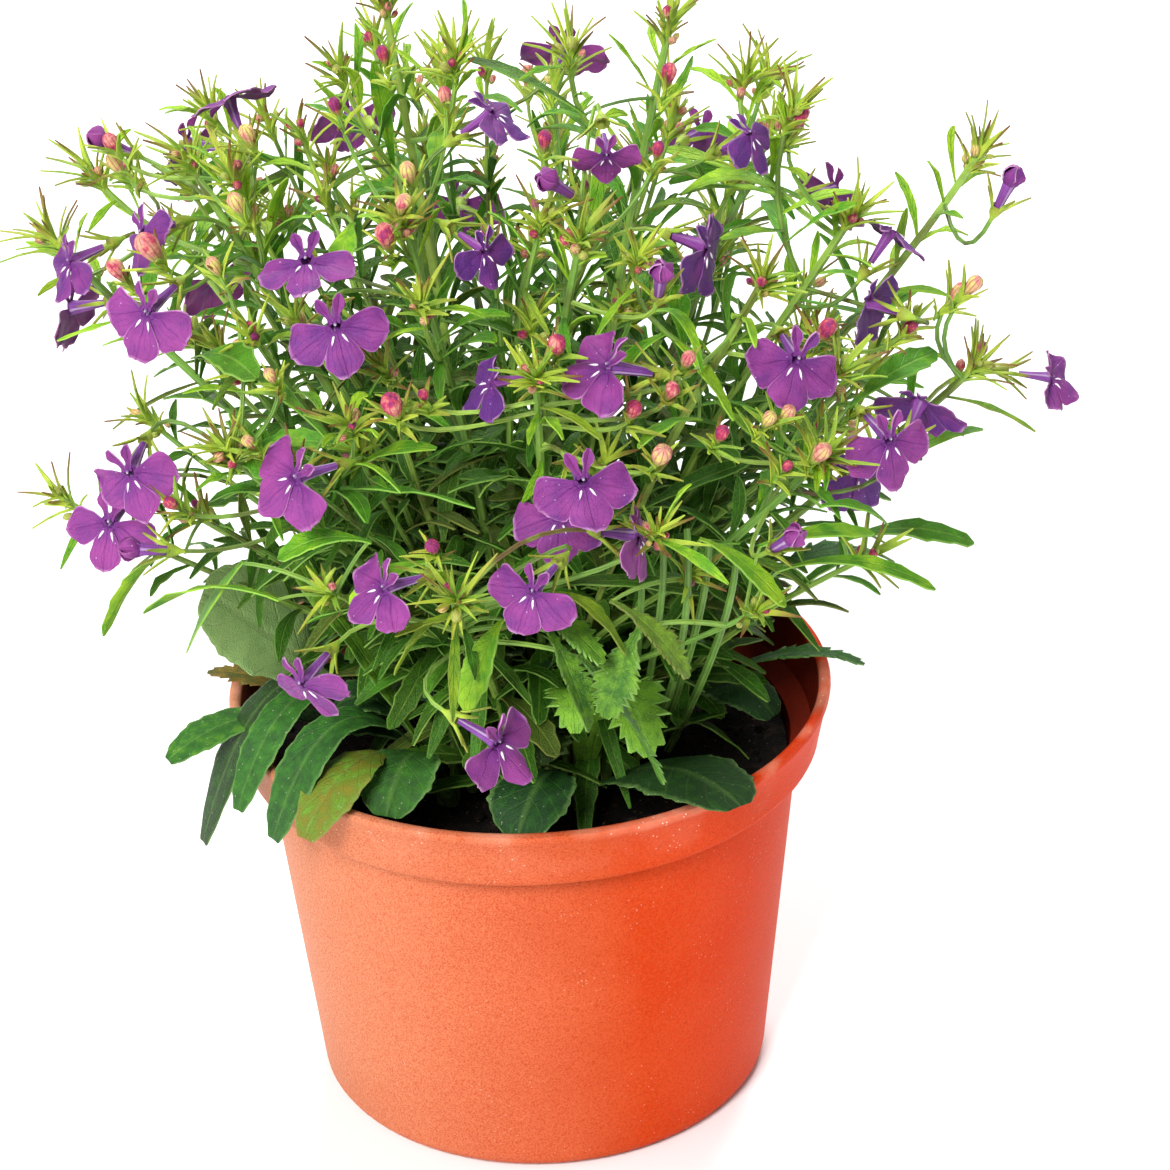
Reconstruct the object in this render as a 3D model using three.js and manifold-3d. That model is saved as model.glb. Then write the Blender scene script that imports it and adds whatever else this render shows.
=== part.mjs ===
// A trailing lobelia in a round plastic pot. Millimetres, +Z up, origin at the middle of the pot's underside.
// Leafy stems and basal rosettes stand in holes in the soil. Each bloom sits in a calyx at the end of a stem's stalk.
// A bearing turns round the pot's axis from its front (-Y) towards +X, and a rise turns up from level, in degrees.
import * as THREE from "three";
import Module from "manifold-3d";

const { Vector3 } = THREE;
const wasm = await Module();
wasm.setup();

// ---------------------------------------------------------------- driving dimensions

const ROUND = 32; // facets round the pot and the soil
const GAP = 0.3; // clearance between pieces that touch
const WELD = { shape: 1e-4, joined: 1.6e-3 }; // distances within which vertices are one, before and after joining

const POT = {
  height: 87,
  baseRadius: 46,
  bodyRadius: 53.5, // just under the band
  bandRadius: 57.6, // the band's lower edge
  rimRadius: 60,
  bandHeight: 12,
  wall: 1.6,
  floor: 1.8,
  edge: 3, // rounding of the lower corner
};
const DRAIN = { radius: 4, ring: 30, count: 6, sides: 6 };
const SOIL_TOP = 72;
const ROOT_DEPTH = 5; // how far stems and crowns stand in the soil
const HOLE_SIDES = 5;

// The plant fills a mound: every bloom, bud and stem tip is placed by a bearing and a rise on it.
const MOUND = { centre: new Vector3(-2, 5, 120), radii: new Vector3(92, 85, 105) };

const STEM = { foot: 1.15, tip: 0.75, sides: 5, steps: 5, rising: 0.42, arriving: 0.38 };
const SHOOT = { foot: 0.6, tip: 0.5, sides: 3, steps: 3, reach: 34 };
const STALK = { foot: 0.35, tip: 0.5, sides: 3, steps: 2, reach: 18, sunk: 0.4 };
const FOOT_RING = { inner: 5, spread: 17 }; // leaning stems have their feet further out

const TUBE = { length: 8.2, mouth: 1.5, throat: 0.8, sides: 4, sunk: 0.2 };
const LIP = {
  thickness: 0.7,
  lower: { middles: [200, 270, 340], length: 9.5, points: [[-27, 0.84], [0, 1], [27, 0.84]], reflex: 1.6 },
  upper: { middles: [428, 472], length: 6.6, points: [[0, 1]], reflex: 3 },
  notches: [2.9, 2.9, 1.9, 1.5, 1.9], // radius of the one after each lobe
};
const CALYX = { points: 5, radius: 1.6, reach: 3.9, seat: 3.2, heights: { floor: 1.6, rim: 3.2, tip: 7.6 } };
const TUFT = { points: 5, radius: 1.3, reach: 4.2, heights: { floor: 6.5, rim: 2.6, tip: 9 } }; // its floor is a bud
const STAR_SUNK = 0.8; // how far a calyx or tuft starts back along its stalk
const BUD = { length: 8.5, radius: 1.7, sunk: 2, profile: [0.4, 1, 0], sides: 4 };
const JOINED_SUNK = 1.8; // how far a flower that is one body with its stem sits down in its calyx

const LEAF = {
  thickness: 0.7,
  spacing: 25,
  shortest: 15,
  longest: 30,
  narrowest: 2.4,
  widest: 6.2,
  linear: 1.1, // width of the needle-like leaves near the tips
  turn: 137.5, // from each leaf to the next
};
// Half-widths along a leaf, as [share of its length, share of its half-width].
const NARROW = [[0, 0.15], [0.5, 1], [1, 0]];
const LINEAR = [[0, 1], [1, 0]];
const TOOTHED = [[0, 0.12], [0.3, 0.2], [0.5, 0.9], [0.6, 0.74], [0.7, 1], [0.8, 0.7], [0.88, 0.78], [1, 0.1]];
const BLUNT = [[0, 0.12], [0.42, 0.16], [0.54, 0.74], [0.68, 1], [0.84, 0.94], [0.95, 0.62], [1, 0.25]];
const BROAD = [[0, 0.15], [0.2, 0.4], [0.38, 0.86], [0.6, 1], [0.82, 0.9], [0.94, 0.6], [1, 0.25]];

// Stems: [bearing, rise, share of the mound's reach at the tip, sideways bow in mm].
const STEMS = [
  [-113, 77, 1.03, 3],
  [99, 69, 1.02, -3],
  [-84, 51, 1.0, 4],
  [-97, 31, 1.1, -4],
  [74, 42, 1.0, 3],
  [98, 33, 1.2, -5],
  [-17, 54, 1.0, 2],
  [15, 51, 1.0, -3],
  [5, 37, 1.0, 3],
  [44, 42, 1.0, -2],
  [43, 23, 1.0, 4],
  [-6, 15, 1.0, -3],
  [-37, 27, 1.0, 3],
  [82, 19, 1.04, -3],
  [133, 36, 1.0, 3],
  [172, 28, 1.0, -4],
  [205, 52, 1.0, 3],
  [232, 24, 1.0, -3],
];

// Side shoots that end in a tuft of bracts and small buds: [bearing, rise, share].
const TUFTS = [
  [-66, 71, 1.0],
  [-20, 78, 1.0],
  [45, 77, 1.0],
  [84, 60, 1.02],
  [70, 54, 1.05],
  [-92, 41, 1.1],
  [-62, 54, 1.0],
  [-8, 45, 1.0],
  [24, 44, 1.0],
  [50, 30, 1.0],
  [-20, 32, 1.0],
  [14, 20, 1.0],
  [118, 50, 1.0],
  [150, 18, 1.0],
  [190, 42, 1.0],
  [240, 46, 1.0],
];

// Open blooms:
// [bearing, rise, share, bearing faced, rise faced, roll, bend of the lower lip, 1 for a node of its own].
const BLOOMS = [
  [-97, 57, 1.0, -147, 57, 180, 0, 1],
  [0, 69, 1.0, 84, 36, 0, 20, 1],
  [-84, 34, 1.06, -60, -10, 0, 40, 1],
  [-71, 43, 1.02, -50, 4, 40, 30, 1],
  [-62, 37, 1.02, -36, -14, -6, 40, 1],
  [-33, 48, 1.0, -12, 30, 10, 48, 1],
  [-23, 41, 1.08, 4, 0, 12, 35, 1],
  [-2, 51, 1.0, 46, -14, 0, 35, 1],
  [-48, 22, 1.06, -16, -16, 24, 35, 1],
  [-55, 15, 1.0, -24, -6, -4, 35, 1],
  [-26, 26, 1.0, -60, 0, -30, 50, 1],
  [-14, 16, 1.0, -64, 0, -20, 50, 1],
  [-24, 5, 1.0, -36, -18, 20, 0, 1],
  [-2, 0, 1.0, 62, -20, 16, 55, 1],
  [3, 16, 1.02, -34, -12, -16, 40, 1],
  [9, 26, 1.08, 14, 4, 4, 45, 1],
  [-1, 38, 0.97, -84, 0, -16, 50, 1],
  [15, 37, 1.02, -80, 16, -20, 55, 1],
  [27, 61, 1.0, 4, -20, 0, 0, 1],
  [62, 56, 1.02, 62, 34, 0, 0, 1],
  [41, 33, 1.04, 14, -6, -24, 35, 1],
  [50, 22, 1.06, 28, -12, 0, 35, 1],
  [64, 22, 1.0, 150, 35, 0, 0, 1],
  [89, 13, 1.17, 82, -6, 20, 50, 1],
  [74, 38, 1.04, 118, 50, 10, 0, 1],
  [16, 20, 0.97, 78, -4, 0, 20, 0],
  [69, 34, 0.98, -120, 8, -20, 0, 0],
  [38, 48, 0.98, 70, -14, 10, 20, 0],
  [55, 18, 0.9, 30, 10, 20, 0, 1],
  [8, 23, 0.86, -6, -4, -4, 40, 1],
  [150, 30, 1.02, 152, -10, 0, 35, 1],
  [168, 46, 1.0, 166, 6, 0, 35, 1],
  [186, 18, 1.02, 178, -20, 0, 35, 1],
  [203, 34, 1.02, 206, -8, 0, 35, 1],
  [222, 14, 1.02, 224, -20, 0, 35, 1],
  [236, 38, 1.02, 238, -6, 0, 35, 1],
  [252, 20, 1.04, 248, -16, 0, 35, 1],
  [128, 26, 1.02, 128, -12, 0, 35, 1],
];

// Closed and opening buds on stalks of their own: [bearing, rise, share, bearing faced, rise faced].
const BUDS = [
  [15, 56, 1.02, -52, 40],
  [24, 43, 1.04, 10, 60],
  [80, 33, 1.22, 84, 66],
  [32, 16, 1.02, 40, 40],
  [-97, 44, 1.06, -84, 30],
  [-16, 53, 1.02, 10, 50],
  [22, 33, 1.02, 20, 46],
  [-44, 15, 1.0, -82, 10],
  [134, 32, 1.02, 100, 50],
  [176, 34, 1.04, 180, 44],
  [-116, 34, 1.04, -112, 40],
];

// Basal rosettes: each crown's bearing, then its leaves as
// [bearing, reach, tip's height, arch's height, width, roll, outline].
const CROWN = { reach: 27, radius: 2.1, top: 75, sides: 5 };
const ROSETTES = [
  {
    bearing: -80,
    leaves: [
      [-75, 64, 118, 104, 20, -50, BLUNT],
      [-70, 75, 86, 100, 8, 0, TOOTHED],
      [-58, 67, 80, 118, 9, -10, TOOTHED],
      [-66, 71, 69, 124, 11, 0, BLUNT],
      [-90, 64, 91, 92, 7, 0, TOOTHED],
      [-112, 64, 84, 108, 12, 0, BLUNT],
    ],
  },
  {
    bearing: -38,
    leaves: [
      [-40, 67, 83, 106, 13, 0, BLUNT],
      [-30, 55, 85, 103, 16, 0, BLUNT],
      [-49, 66, 78, 120, 8, 0, TOOTHED],
      [-60, 44, 94, 104, 13, 0, BLUNT],
      [-55, 54, 134, 112, 5.5, -30, TOOTHED],
    ],
  },
  {
    bearing: 22,
    leaves: [
      [-3, 52, 82, 98, 17, 0, BLUNT],
      [34, 70, 91, 98, 19, 0, BROAD],
      [22, 60, 101, 126, 11, 0, TOOTHED],
      [9, 57, 107, 124, 9, 0, TOOTHED],
    ],
  },
  {
    bearing: 98,
    leaves: [
      [74, 50, 84, 96, 13, 0, BROAD],
      [80, 67, 94, 100, 6, 0, TOOTHED],
      [107, 80, 96, 120, 6, 0, TOOTHED],
      [128, 62, 90, 108, 15, 0, BLUNT],
    ],
  },
  {
    bearing: 190,
    leaves: [
      [158, 64, 92, 112, 15, 0, BLUNT],
      [184, 68, 84, 118, 14, 0, TOOTHED],
      [212, 62, 93, 110, 16, 0, BLUNT],
      [236, 66, 88, 114, 12, 0, TOOTHED],
    ],
  },
];

const COLOURS = {
  pot: [0xe8603a, 0.5], // colour, roughness
  soil: [0x20140e, 0.95],
  stem: [0x5f9a2e, 0.6],
  rosette: [0x2f6a33, 0.6],
  bloom: [0x8b3aa5, 0.55],
};

// ---------------------------------------------------------------- small maths

const UP = new Vector3(0, 0, 1);
const radians = THREE.MathUtils.degToRad;

// The unit vector with a bearing and a rise.
function heading(bearing, rise = 0) {
  const b = radians(bearing);
  const r = radians(rise);
  return new Vector3(Math.cos(r) * Math.sin(b), -Math.cos(r) * Math.cos(b), Math.sin(r));
}

function onMound([bearing, rise, share]) {
  return heading(bearing, rise).multiply(MOUND.radii).multiplyScalar(share).add(MOUND.centre);
}

// A repeatable stream of numbers from 0 to 1.
function seeded(seed) {
  let state = seed;
  return () => {
    state = (state * 48271) % 2147483647;
    return state / 2147483647;
  };
}

const along = (point, direction, distance) => point.clone().addScaledVector(direction, distance);

// ---------------------------------------------------------------- the growth plan

// Every piece that has grown is remembered as small balls, so that what grows later keeps clear of other nodes.
const balls = [];

function remember(node, points) {
  for (const [p, r] of points) balls.push([p.x, p.y, p.z, r, node]);
}

// True where a ball touches the soil or comes close to the pot's rim and wall.
function inPot(p, r) {
  const reach = Math.hypot(p.x, p.y);
  if (p.z - r < SOIL_TOP + GAP && reach < POT.bodyRadius) return true;
  const inside = POT.bodyRadius - POT.wall - r - 1;
  const outside = POT.rimRadius + r + 1;
  return p.z - r < POT.height + 1 && reach > inside && reach < outside;
}

// True where balls clear the pot and every ball of another node by a margin.
function isClear(node, points, margin) {
  return points.every(
    ([p, r]) =>
      !inPot(p, r) &&
      balls.every(([x, y, z, q, other]) => {
        const near = r + q + margin;
        return other === node || (p.x - x) ** 2 + (p.y - y) ** 2 + (p.z - z) ** 2 > near * near;
      }),
  );
}

// Balls every 2 mm or so along a curve, from the share `from` of it on, with the radius that size(t) gives.
function ballsAlong(curve, length, size, from = 0) {
  const count = Math.max(3, Math.ceil(length / 2));
  const made = [];
  for (let i = 0; i <= count; i++) {
    const t = from + ((1 - from) * i) / count;
    made.push([curve.getPoint(t), size(t)]);
  }
  return made;
}

// Small shifts tried in turn where something else is in the way: of the bearing, the rise and the share.
const NUDGES = [
  [0, 0, 0],
  [0, 0, 0.04],
  [0, 0, -0.04],
  [4, 0, 0],
  [-4, 0, 0],
  [0, 4, 0],
  [0, -4, 0],
  [5, 5, 0.03],
  [-5, 5, 0.03],
  [5, -5, 0.03],
  [-5, -5, 0.03],
];

// The first nudged place on the mound at which grow(place) succeeds.
function growNear([bearing, rise, share], what, grow) {
  const found = NUDGES.some(([turn, lift, further]) => grow(onMound([bearing + turn, rise + lift, share + further])));
  if (!found) console.warn("no room for the", what, "at", bearing, rise);
}

// The way a stem or shoot points where it ends: outwards, and more upwards the higher it is.
const tipAim = (bearing, rise) => heading(bearing, 35 + 0.6 * rise);

function growStems() {
  return STEMS.map(([bearing, rise, share, bow], index) => {
    const node = "leafy_stem_" + String(index + 1).padStart(2, "0");
    const foot = heading(bearing).multiplyScalar(FOOT_RING.inner + FOOT_RING.spread * Math.cos(radians(rise)));
    foot.z = SOIL_TOP - ROOT_DEPTH;
    const tip = onMound([bearing, rise, share]);
    const side = heading(bearing + 90);
    const aim = tipAim(bearing, rise);
    const height = tip.z - SOIL_TOP;
    const rising = along(along(foot, UP, ROOT_DEPTH + STEM.rising * height), side, bow / 2);
    const arriving = along(along(tip, aim, -STEM.arriving * tip.distanceTo(foot)), side, bow);
    const curve = new THREE.CubicBezierCurve3(foot, rising, arriving, tip);
    const length = curve.getLength();
    remember(node, ballsAlong(curve, length, () => STEM.foot));
    return { node, tip, side, curve, length, aim, stalks: [], buds: [], shoots: [], flowers: [], leaves: [] };
  });
}

// The stem that can best hold something at a point, with the clear curve that reaches it along `aim`.
function reachFor(stems, point, aim, { reach }) {
  const choices = [];
  for (const stem of stems) {
    for (let step = 10; step <= 32; step++) {
      const joint = stem.curve.getPoint(0.03 * step);
      const span = joint.distanceTo(point);
      const above = Math.max(0, joint.z - point.z + 0.35 * span);
      choices.push({ stem, joint, span, cost: (span - reach) ** 2 + above ** 2 });
    }
  }
  choices.sort((a, b) => a.cost - b.cost);
  for (const { stem, joint, span } of choices.slice(0, 60)) {
    const bend = along(point, aim, -0.5 * span);
    const curve = new THREE.QuadraticBezierCurve3(joint, bend, along(point, aim, STALK.sunk));
    const path = ballsAlong(curve, span, () => STALK.tip, 0.1);
    if (!isClear(stem.node, path, 0.4)) continue;
    remember(stem.node, path);
    return { stem, curve, span };
  }
  return null;
}

// The directions across, up and out of something that faces a bearing and a rise.
function frameOf(bearing, rise, roll, bend = 0) {
  const out = heading(bearing, rise);
  const up = along(UP, out, -UP.dot(out)).normalize().applyAxisAngle(out, radians(roll));
  return { out, up, across: new Vector3().crossVectors(up, out), bend: radians(bend) };
}

// A point on a flower's face, by its place there and its height out of the face. The lower lip is bent forward.
function onFace({ place, across, up, out, bend }, x, y, height) {
  const fold = y < 0 ? bend : 0;
  const level = along(along(place, across, x), up, y * Math.cos(fold));
  return along(level, out, height - y * Math.sin(fold));
}

function flowerBalls(flower) {
  const at = (angle, radius, height) => {
    return onFace(flower, radius * Math.cos(radians(angle)), radius * Math.sin(radians(angle)), height);
  };
  const points = [];
  for (const middle of LIP.lower.middles) points.push([at(middle, 3.4, 0), 2.4], [at(middle, 7.2, -0.8), 3.2]);
  for (const middle of LIP.upper.middles) points.push([at(middle, 3, 0), 1.2], [at(middle, 5.6, -2.2), 1.2]);
  for (const depth of [2, 4, 6, 8]) points.push([along(flower.place, flower.out, -depth), 1.6]);
  return points;
}

// Flowers that have a node of their own. The others are one body with the stem that holds them.
function growFlowers(stems) {
  const blooms = [];
  for (const [bearing, rise, share, faceBearing, faceRise, roll, bend, own] of BLOOMS) {
    growNear([bearing, rise, share], "flower", (place) => {
      const flower = { place, ...frameOf(faceBearing, faceRise, roll, bend) };
      const back = TUBE.length - TUBE.sunk + CALYX.seat - STAR_SUNK - (own ? 0 : JOINED_SUNK);
      const foot = along(place, flower.out, -back);
      const points = flowerBalls(flower);
      const held = isClear("", points, 0.6) && reachFor(stems, foot, flower.out, STALK);
      if (!held) return false;
      held.stem.stalks.push({ ...flower, foot, curve: held.curve });
      if (own) blooms.push({ ...flower, node: "bloom_" + String(blooms.length + 1).padStart(2, "0") });
      else held.stem.flowers.push(flower);
      remember(own ? blooms.at(-1).node : held.stem.node, points);
      return true;
    });
  }
  return blooms;
}

function growBuds(stems) {
  for (const [bearing, rise, share, faceBearing, faceRise] of BUDS) {
    growNear([bearing, rise, share], "bud", (place) => {
      const bud = { place, ...frameOf(faceBearing, faceRise, 0) };
      const foot = along(place, bud.out, STAR_SUNK - CALYX.seat);
      const points = [0, 2, 4, 6].map((height) => [along(place, bud.out, height), BUD.radius]);
      const held = isClear("", points, 0.6) && reachFor(stems, foot, bud.out, STALK);
      if (!held) return false;
      held.stem.buds.push({ ...bud, foot, curve: held.curve });
      remember(held.stem.node, points);
      return true;
    });
  }
}

function growTufts(stems) {
  const tuftBalls = (tip, aim) => [0, 3, 6, 9].map((height) => [along(tip, aim, height), 1 + 0.45 * height]);
  for (const { node, tip, aim } of stems) remember(node, tuftBalls(tip, aim));
  for (const [bearing, rise, share] of TUFTS) {
    growNear([bearing, rise, share], "tuft", (tip) => {
      const aim = tipAim(bearing, rise);
      const points = tuftBalls(tip, aim);
      const held = isClear("", points, 0.2) && reachFor(stems, tip, aim, SHOOT);
      if (!held) return false;
      held.stem.shoots.push({ tip, aim, side: held.stem.side, curve: held.curve, length: held.span });
      remember(held.stem.node, points);
      return true;
    });
  }
}

// The share of the half-width that an outline has at a share of the length.
function widthAt(outline, t) {
  const next = Math.max(1, outline.findIndex(([share]) => share >= t));
  const [t0, w0] = outline[next - 1];
  const [t1, w1] = outline[next];
  return w0 + ((w1 - w0) * (t - t0)) / (t1 - t0);
}

function growRosettes() {
  return ROSETTES.map(({ bearing, leaves }, index) => {
    const node = "rosette_" + (index + 1);
    const crown = heading(bearing).multiplyScalar(CROWN.reach);
    crown.z = CROWN.top;
    const grown = leaves.map(([leafBearing, reach, height, arch, width, roll, outline]) => {
      const tip = heading(leafBearing).multiplyScalar(reach);
      tip.z = height;
      const middle = crown.clone().lerp(tip, 0.55);
      middle.z = arch;
      const curve = new THREE.QuadraticBezierCurve3(crown, middle, tip);
      const way = tip.clone().sub(crown).normalize();
      const side = new Vector3().crossVectors(way, UP).normalize().applyAxisAngle(way, radians(roll));
      const halfWidth = (t) => (width / 2) * widthAt(outline, t);
      for (const [p, half] of ballsAlong(curve, curve.getLength(), halfWidth, 0.1)) {
        remember(node, [-0.62, 0, 0.62].map((share) => [along(p, side, share * half), Math.max(0.6, 0.38 * half)]));
      }
      return { curve, side, width, outline };
    });
    return { node, crown, leaves: grown };
  });
}

// Leaves stand alternately along stems and shoots. Each turns aside, or is left off, where something is in its way.
const TURNS = [0, 35, -35, 75, -75, 120, -120, 170];

function growLeaves(stems) {
  const random = seeded(2024);
  for (const stem of stems) {
    const axes = [{ ...stem, first: 0.1 }, ...stem.shoots.map((shoot) => ({ ...shoot, first: 0.25 }))];
    for (const { curve, length, first, side } of axes) {
      const last = 0.93;
      const count = Math.floor((length * (last - first)) / LEAF.spacing);
      const start = 360 * random();
      for (let i = 0; i <= count; i++) {
        const t = first + ((last - first) * i) / Math.max(1, count);
        const [size, droop, open] = [random(), 0.09 + 0.3 * random(), 42 + 22 * random()];
        const long = LEAF.shortest + (LEAF.longest - LEAF.shortest) * (0.35 * size + 0.65 * (1 - t));
        const width = LEAF.narrowest + (LEAF.widest - LEAF.narrowest) * (0.2 * size + 0.8 * (1 - t));
        const root = curve.getPoint(t);
        const axis = curve.getTangent(t);
        for (const aside of TURNS) {
          const radial = side.clone().applyAxisAngle(axis, radians(start + LEAF.turn * i + aside));
          const rising = axis.clone().multiplyScalar(Math.cos(radians(open)));
          rising.addScaledVector(radial, Math.sin(radians(open)));
          const tip = along(along(root, rising, long), UP, -droop * long);
          const leafCurve = new THREE.QuadraticBezierCurve3(root, along(root, rising, long / 2), tip);
          const points = ballsAlong(leafCurve, long, (s) => 0.4 * width * widthAt(NARROW, s) + 0.2, 0.15);
          if (!isClear(stem.node, points, 0.35) || !isClear("", points.slice(2), 0)) continue;
          remember(stem.node, points);
          const across = new Vector3().crossVectors(rising, UP).normalize();
          const linear = t > 0.62 || first > 0.2;
          const form = linear ? { width: LEAF.linear, outline: LINEAR } : { width, outline: NARROW };
          stem.leaves.push({ curve: leafCurve, side: across, ...form });
          break;
        }
      }
    }
  }
}

// ---------------------------------------------------------------- solids

// Joins the vertices of a geometry that lie within a tolerance and leaves out the triangles that collapse.
function welded(geometry, tolerance) {
  const position = geometry.getAttribute("position");
  const corners = geometry.index ? geometry.index.array : Array.from({ length: position.count }, (_, i) => i);
  const kept = [];
  const joined = Array.from({ length: position.count }, (_, i) => {
    const v = new Vector3().fromBufferAttribute(position, i);
    const same = kept.findIndex((other) => other.distanceToSquared(v) < tolerance * tolerance);
    return same < 0 ? kept.push(v) - 1 : same;
  });
  const index = [];
  for (let i = 0; i < corners.length; i += 3) {
    const [a, b, c] = [joined[corners[i]], joined[corners[i + 1]], joined[corners[i + 2]]];
    if (a !== b && b !== c && c !== a) index.push(a, b, c);
  }
  return new THREE.BufferGeometry().setFromPoints(kept).setIndex(index);
}

// A closed geometry as a manifold-3d solid.
function solid(geometry, tolerance = WELD.shape) {
  const closed = welded(geometry, tolerance);
  const vertProperties = closed.getAttribute("position").array;
  const triVerts = new Uint32Array(closed.index.array);
  return new wasm.Manifold(new wasm.Mesh({ numProp: 3, vertProperties, triVerts }));
}

// A manifold-3d solid as a geometry.
function geometryOf(whole) {
  const { vertProperties, triVerts } = whole.getMesh();
  return new THREE.BufferGeometry()
    .setAttribute("position", new THREE.BufferAttribute(vertProperties, 3))
    .setIndex(new THREE.BufferAttribute(triVerts, 1));
}

function union(solids) {
  return solids.reduce((whole, next) => whole.add(next));
}

// The largest body of a union: a scrap that touches nothing is dropped.
function largest(whole) {
  return whole.decompose().sort((a, b) => b.volume() - a.volume())[0];
}

function meshOf(name, whole, [colour, roughness]) {
  const geometry = geometryOf(solid(geometryOf(largest(whole)), WELD.joined));
  geometry.computeVertexNormals();
  const mesh = new THREE.Mesh(geometry, new THREE.MeshStandardMaterial({ color: colour, roughness, metalness: 0 }));
  mesh.name = name;
  return mesh;
}

// Moves each vertex of a geometry with a function of its position.
function shaped(geometry, move) {
  const position = geometry.getAttribute("position");
  const v = new Vector3();
  for (let i = 0; i < position.count; i++) {
    const to = move(v.fromBufferAttribute(position, i));
    position.setXYZ(i, to.x, to.y, to.z);
  }
  return geometry;
}

// A cylinder bent along a curve. rings holds [share of the curve, half-width, half-thickness] from foot to tip.
function sweep(curve, side, sides, rings) {
  const steps = rings.length - 1;
  const geometry = new THREE.CylinderGeometry(1, 1, 1, sides, steps);
  return solid(
    shaped(geometry, (v) => {
      const [t, width, thick] = rings[Math.round((v.y + 0.5) * steps)];
      const tangent = curve.getTangent(t);
      const across = along(side, tangent, -side.dot(tangent)).normalize();
      const normal = new Vector3().crossVectors(across, tangent);
      return along(along(curve.getPoint(t), across, v.x * width), normal, v.z * thick);
    }),
  );
}

// A stem, shoot or stalk that tapers from its foot to its tip.
function tube({ curve, side }, { sides, steps, foot, tip }) {
  const rings = [];
  for (let i = 0; i <= steps; i++) {
    const radius = foot + ((tip - foot) * i) / steps;
    rings.push([i / steps, radius, radius]);
  }
  return sweep(curve, side, sides, rings);
}

// A leaf with a keel beneath. A basal leaf has a ridge on both its faces.
function blade({ curve, side, width, outline }) {
  const sides = outline === NARROW || outline === LINEAR ? 3 : 4;
  const rings = outline.map(([t, w]) => [t, (w * width) / 2, w > 0 ? LEAF.thickness / 2 : 0]);
  return sweep(curve, side, sides, rings);
}

// Places a geometry that was made round +Y, with its +Y along `out`.
function placed(geometry, place, out) {
  const turn = new THREE.Quaternion().setFromUnitVectors(new Vector3(0, 1, 0), out);
  return solid(geometry.applyQuaternion(turn).translate(place.x, place.y, place.z));
}

// The outline of a flower's face as [angle, radius], anticlockwise from the right.
function lipOutline() {
  const lobes = [LIP.lower, LIP.upper].flatMap((lip) => lip.middles.map((middle) => ({ ...lip, middle })));
  return lobes.flatMap(({ middle, length, points }, i) => {
    const next = i + 1 < lobes.length ? lobes[i + 1].middle : lobes[0].middle + 360;
    const lobe = points.map(([aside, share]) => [middle + aside, length * share]);
    return [...lobe, [(middle + next) / 2, LIP.notches[i]]];
  });
}

// A flower's face: three broad lobes below and two narrow ones above, all curved back.
function lip(flower) {
  const outline = lipOutline().map(([angle, radius]) => {
    return new THREE.Vector2(radius * Math.cos(radians(angle)), radius * Math.sin(radians(angle)));
  });
  const geometry = new THREE.ExtrudeGeometry(new THREE.Shape(outline), { depth: LIP.thickness, bevelEnabled: false });
  return solid(
    shaped(geometry, (v) => {
      const { length, reflex } = v.y > LIP.notches[3] ? LIP.upper : LIP.lower;
      return onFace(flower, v.x, v.y, v.z - reflex * (v.x ** 2 + v.y ** 2) / length ** 2);
    }),
  );
}

// A whole flower: its face on its tube.
function corolla(flower) {
  const geometry = new THREE.CylinderGeometry(TUBE.mouth, TUBE.throat, TUBE.length, TUBE.sides, 1);
  const middle = along(flower.place, flower.out, TUBE.sunk - TUBE.length / 2);
  return lip(flower).add(placed(geometry, middle, flower.out));
}

// A cup on a pointed foot, drawn out into tips all round: a calyx, or a tuft of bracts whose floor rises as a bud.
function starAt(foot, out, { points, radius, reach, heights }) {
  const corners = 2 * points;
  const cup = shaped(new THREE.CylinderGeometry(1, 1, 1, corners, 1), (v) => {
    if (v.y < 0) return new Vector3();
    if (Math.hypot(v.x, v.z) < 0.5) return new Vector3(0, heights.floor, 0);
    const isTip = Math.round((Math.atan2(v.x, v.z) / (2 * Math.PI)) * corners) % 2 === 0;
    const far = isTip ? reach : radius;
    return new Vector3(v.x * far, isTip ? heights.tip : heights.rim, v.z * far);
  });
  return placed(cup, along(foot, out, -STAR_SUNK), out);
}

// A closed bud that stands in its calyx.
function closedBud({ place, out }) {
  const { length, radius, sunk, profile, sides } = BUD;
  const steps = profile.length - 1;
  const formed = shaped(new THREE.CylinderGeometry(1, 1, 1, sides, steps), (v) => {
    const ring = Math.round((v.y + 0.5) * steps);
    const wide = radius * profile[ring];
    return new Vector3(v.x * wide, (ring / steps) * length, v.z * wide);
  });
  return placed(formed, along(place, out, -sunk), out);
}

// ---------------------------------------------------------------- nodes

// A profile of [radius, height] corners turned round the pot's axis.
function turned(profile) {
  const corners = profile.map(([radius, height]) => new THREE.Vector2(radius, height));
  return solid(new THREE.LatheGeometry(corners, ROUND).rotateX(Math.PI / 2));
}

// An upright prism from one height to another.
function upright(at, radius, bottom, top, sides) {
  const geometry = new THREE.CylinderGeometry(radius, radius, top - bottom, sides).rotateX(Math.PI / 2);
  return solid(geometry.translate(at.x, at.y, (bottom + top) / 2));
}

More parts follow.
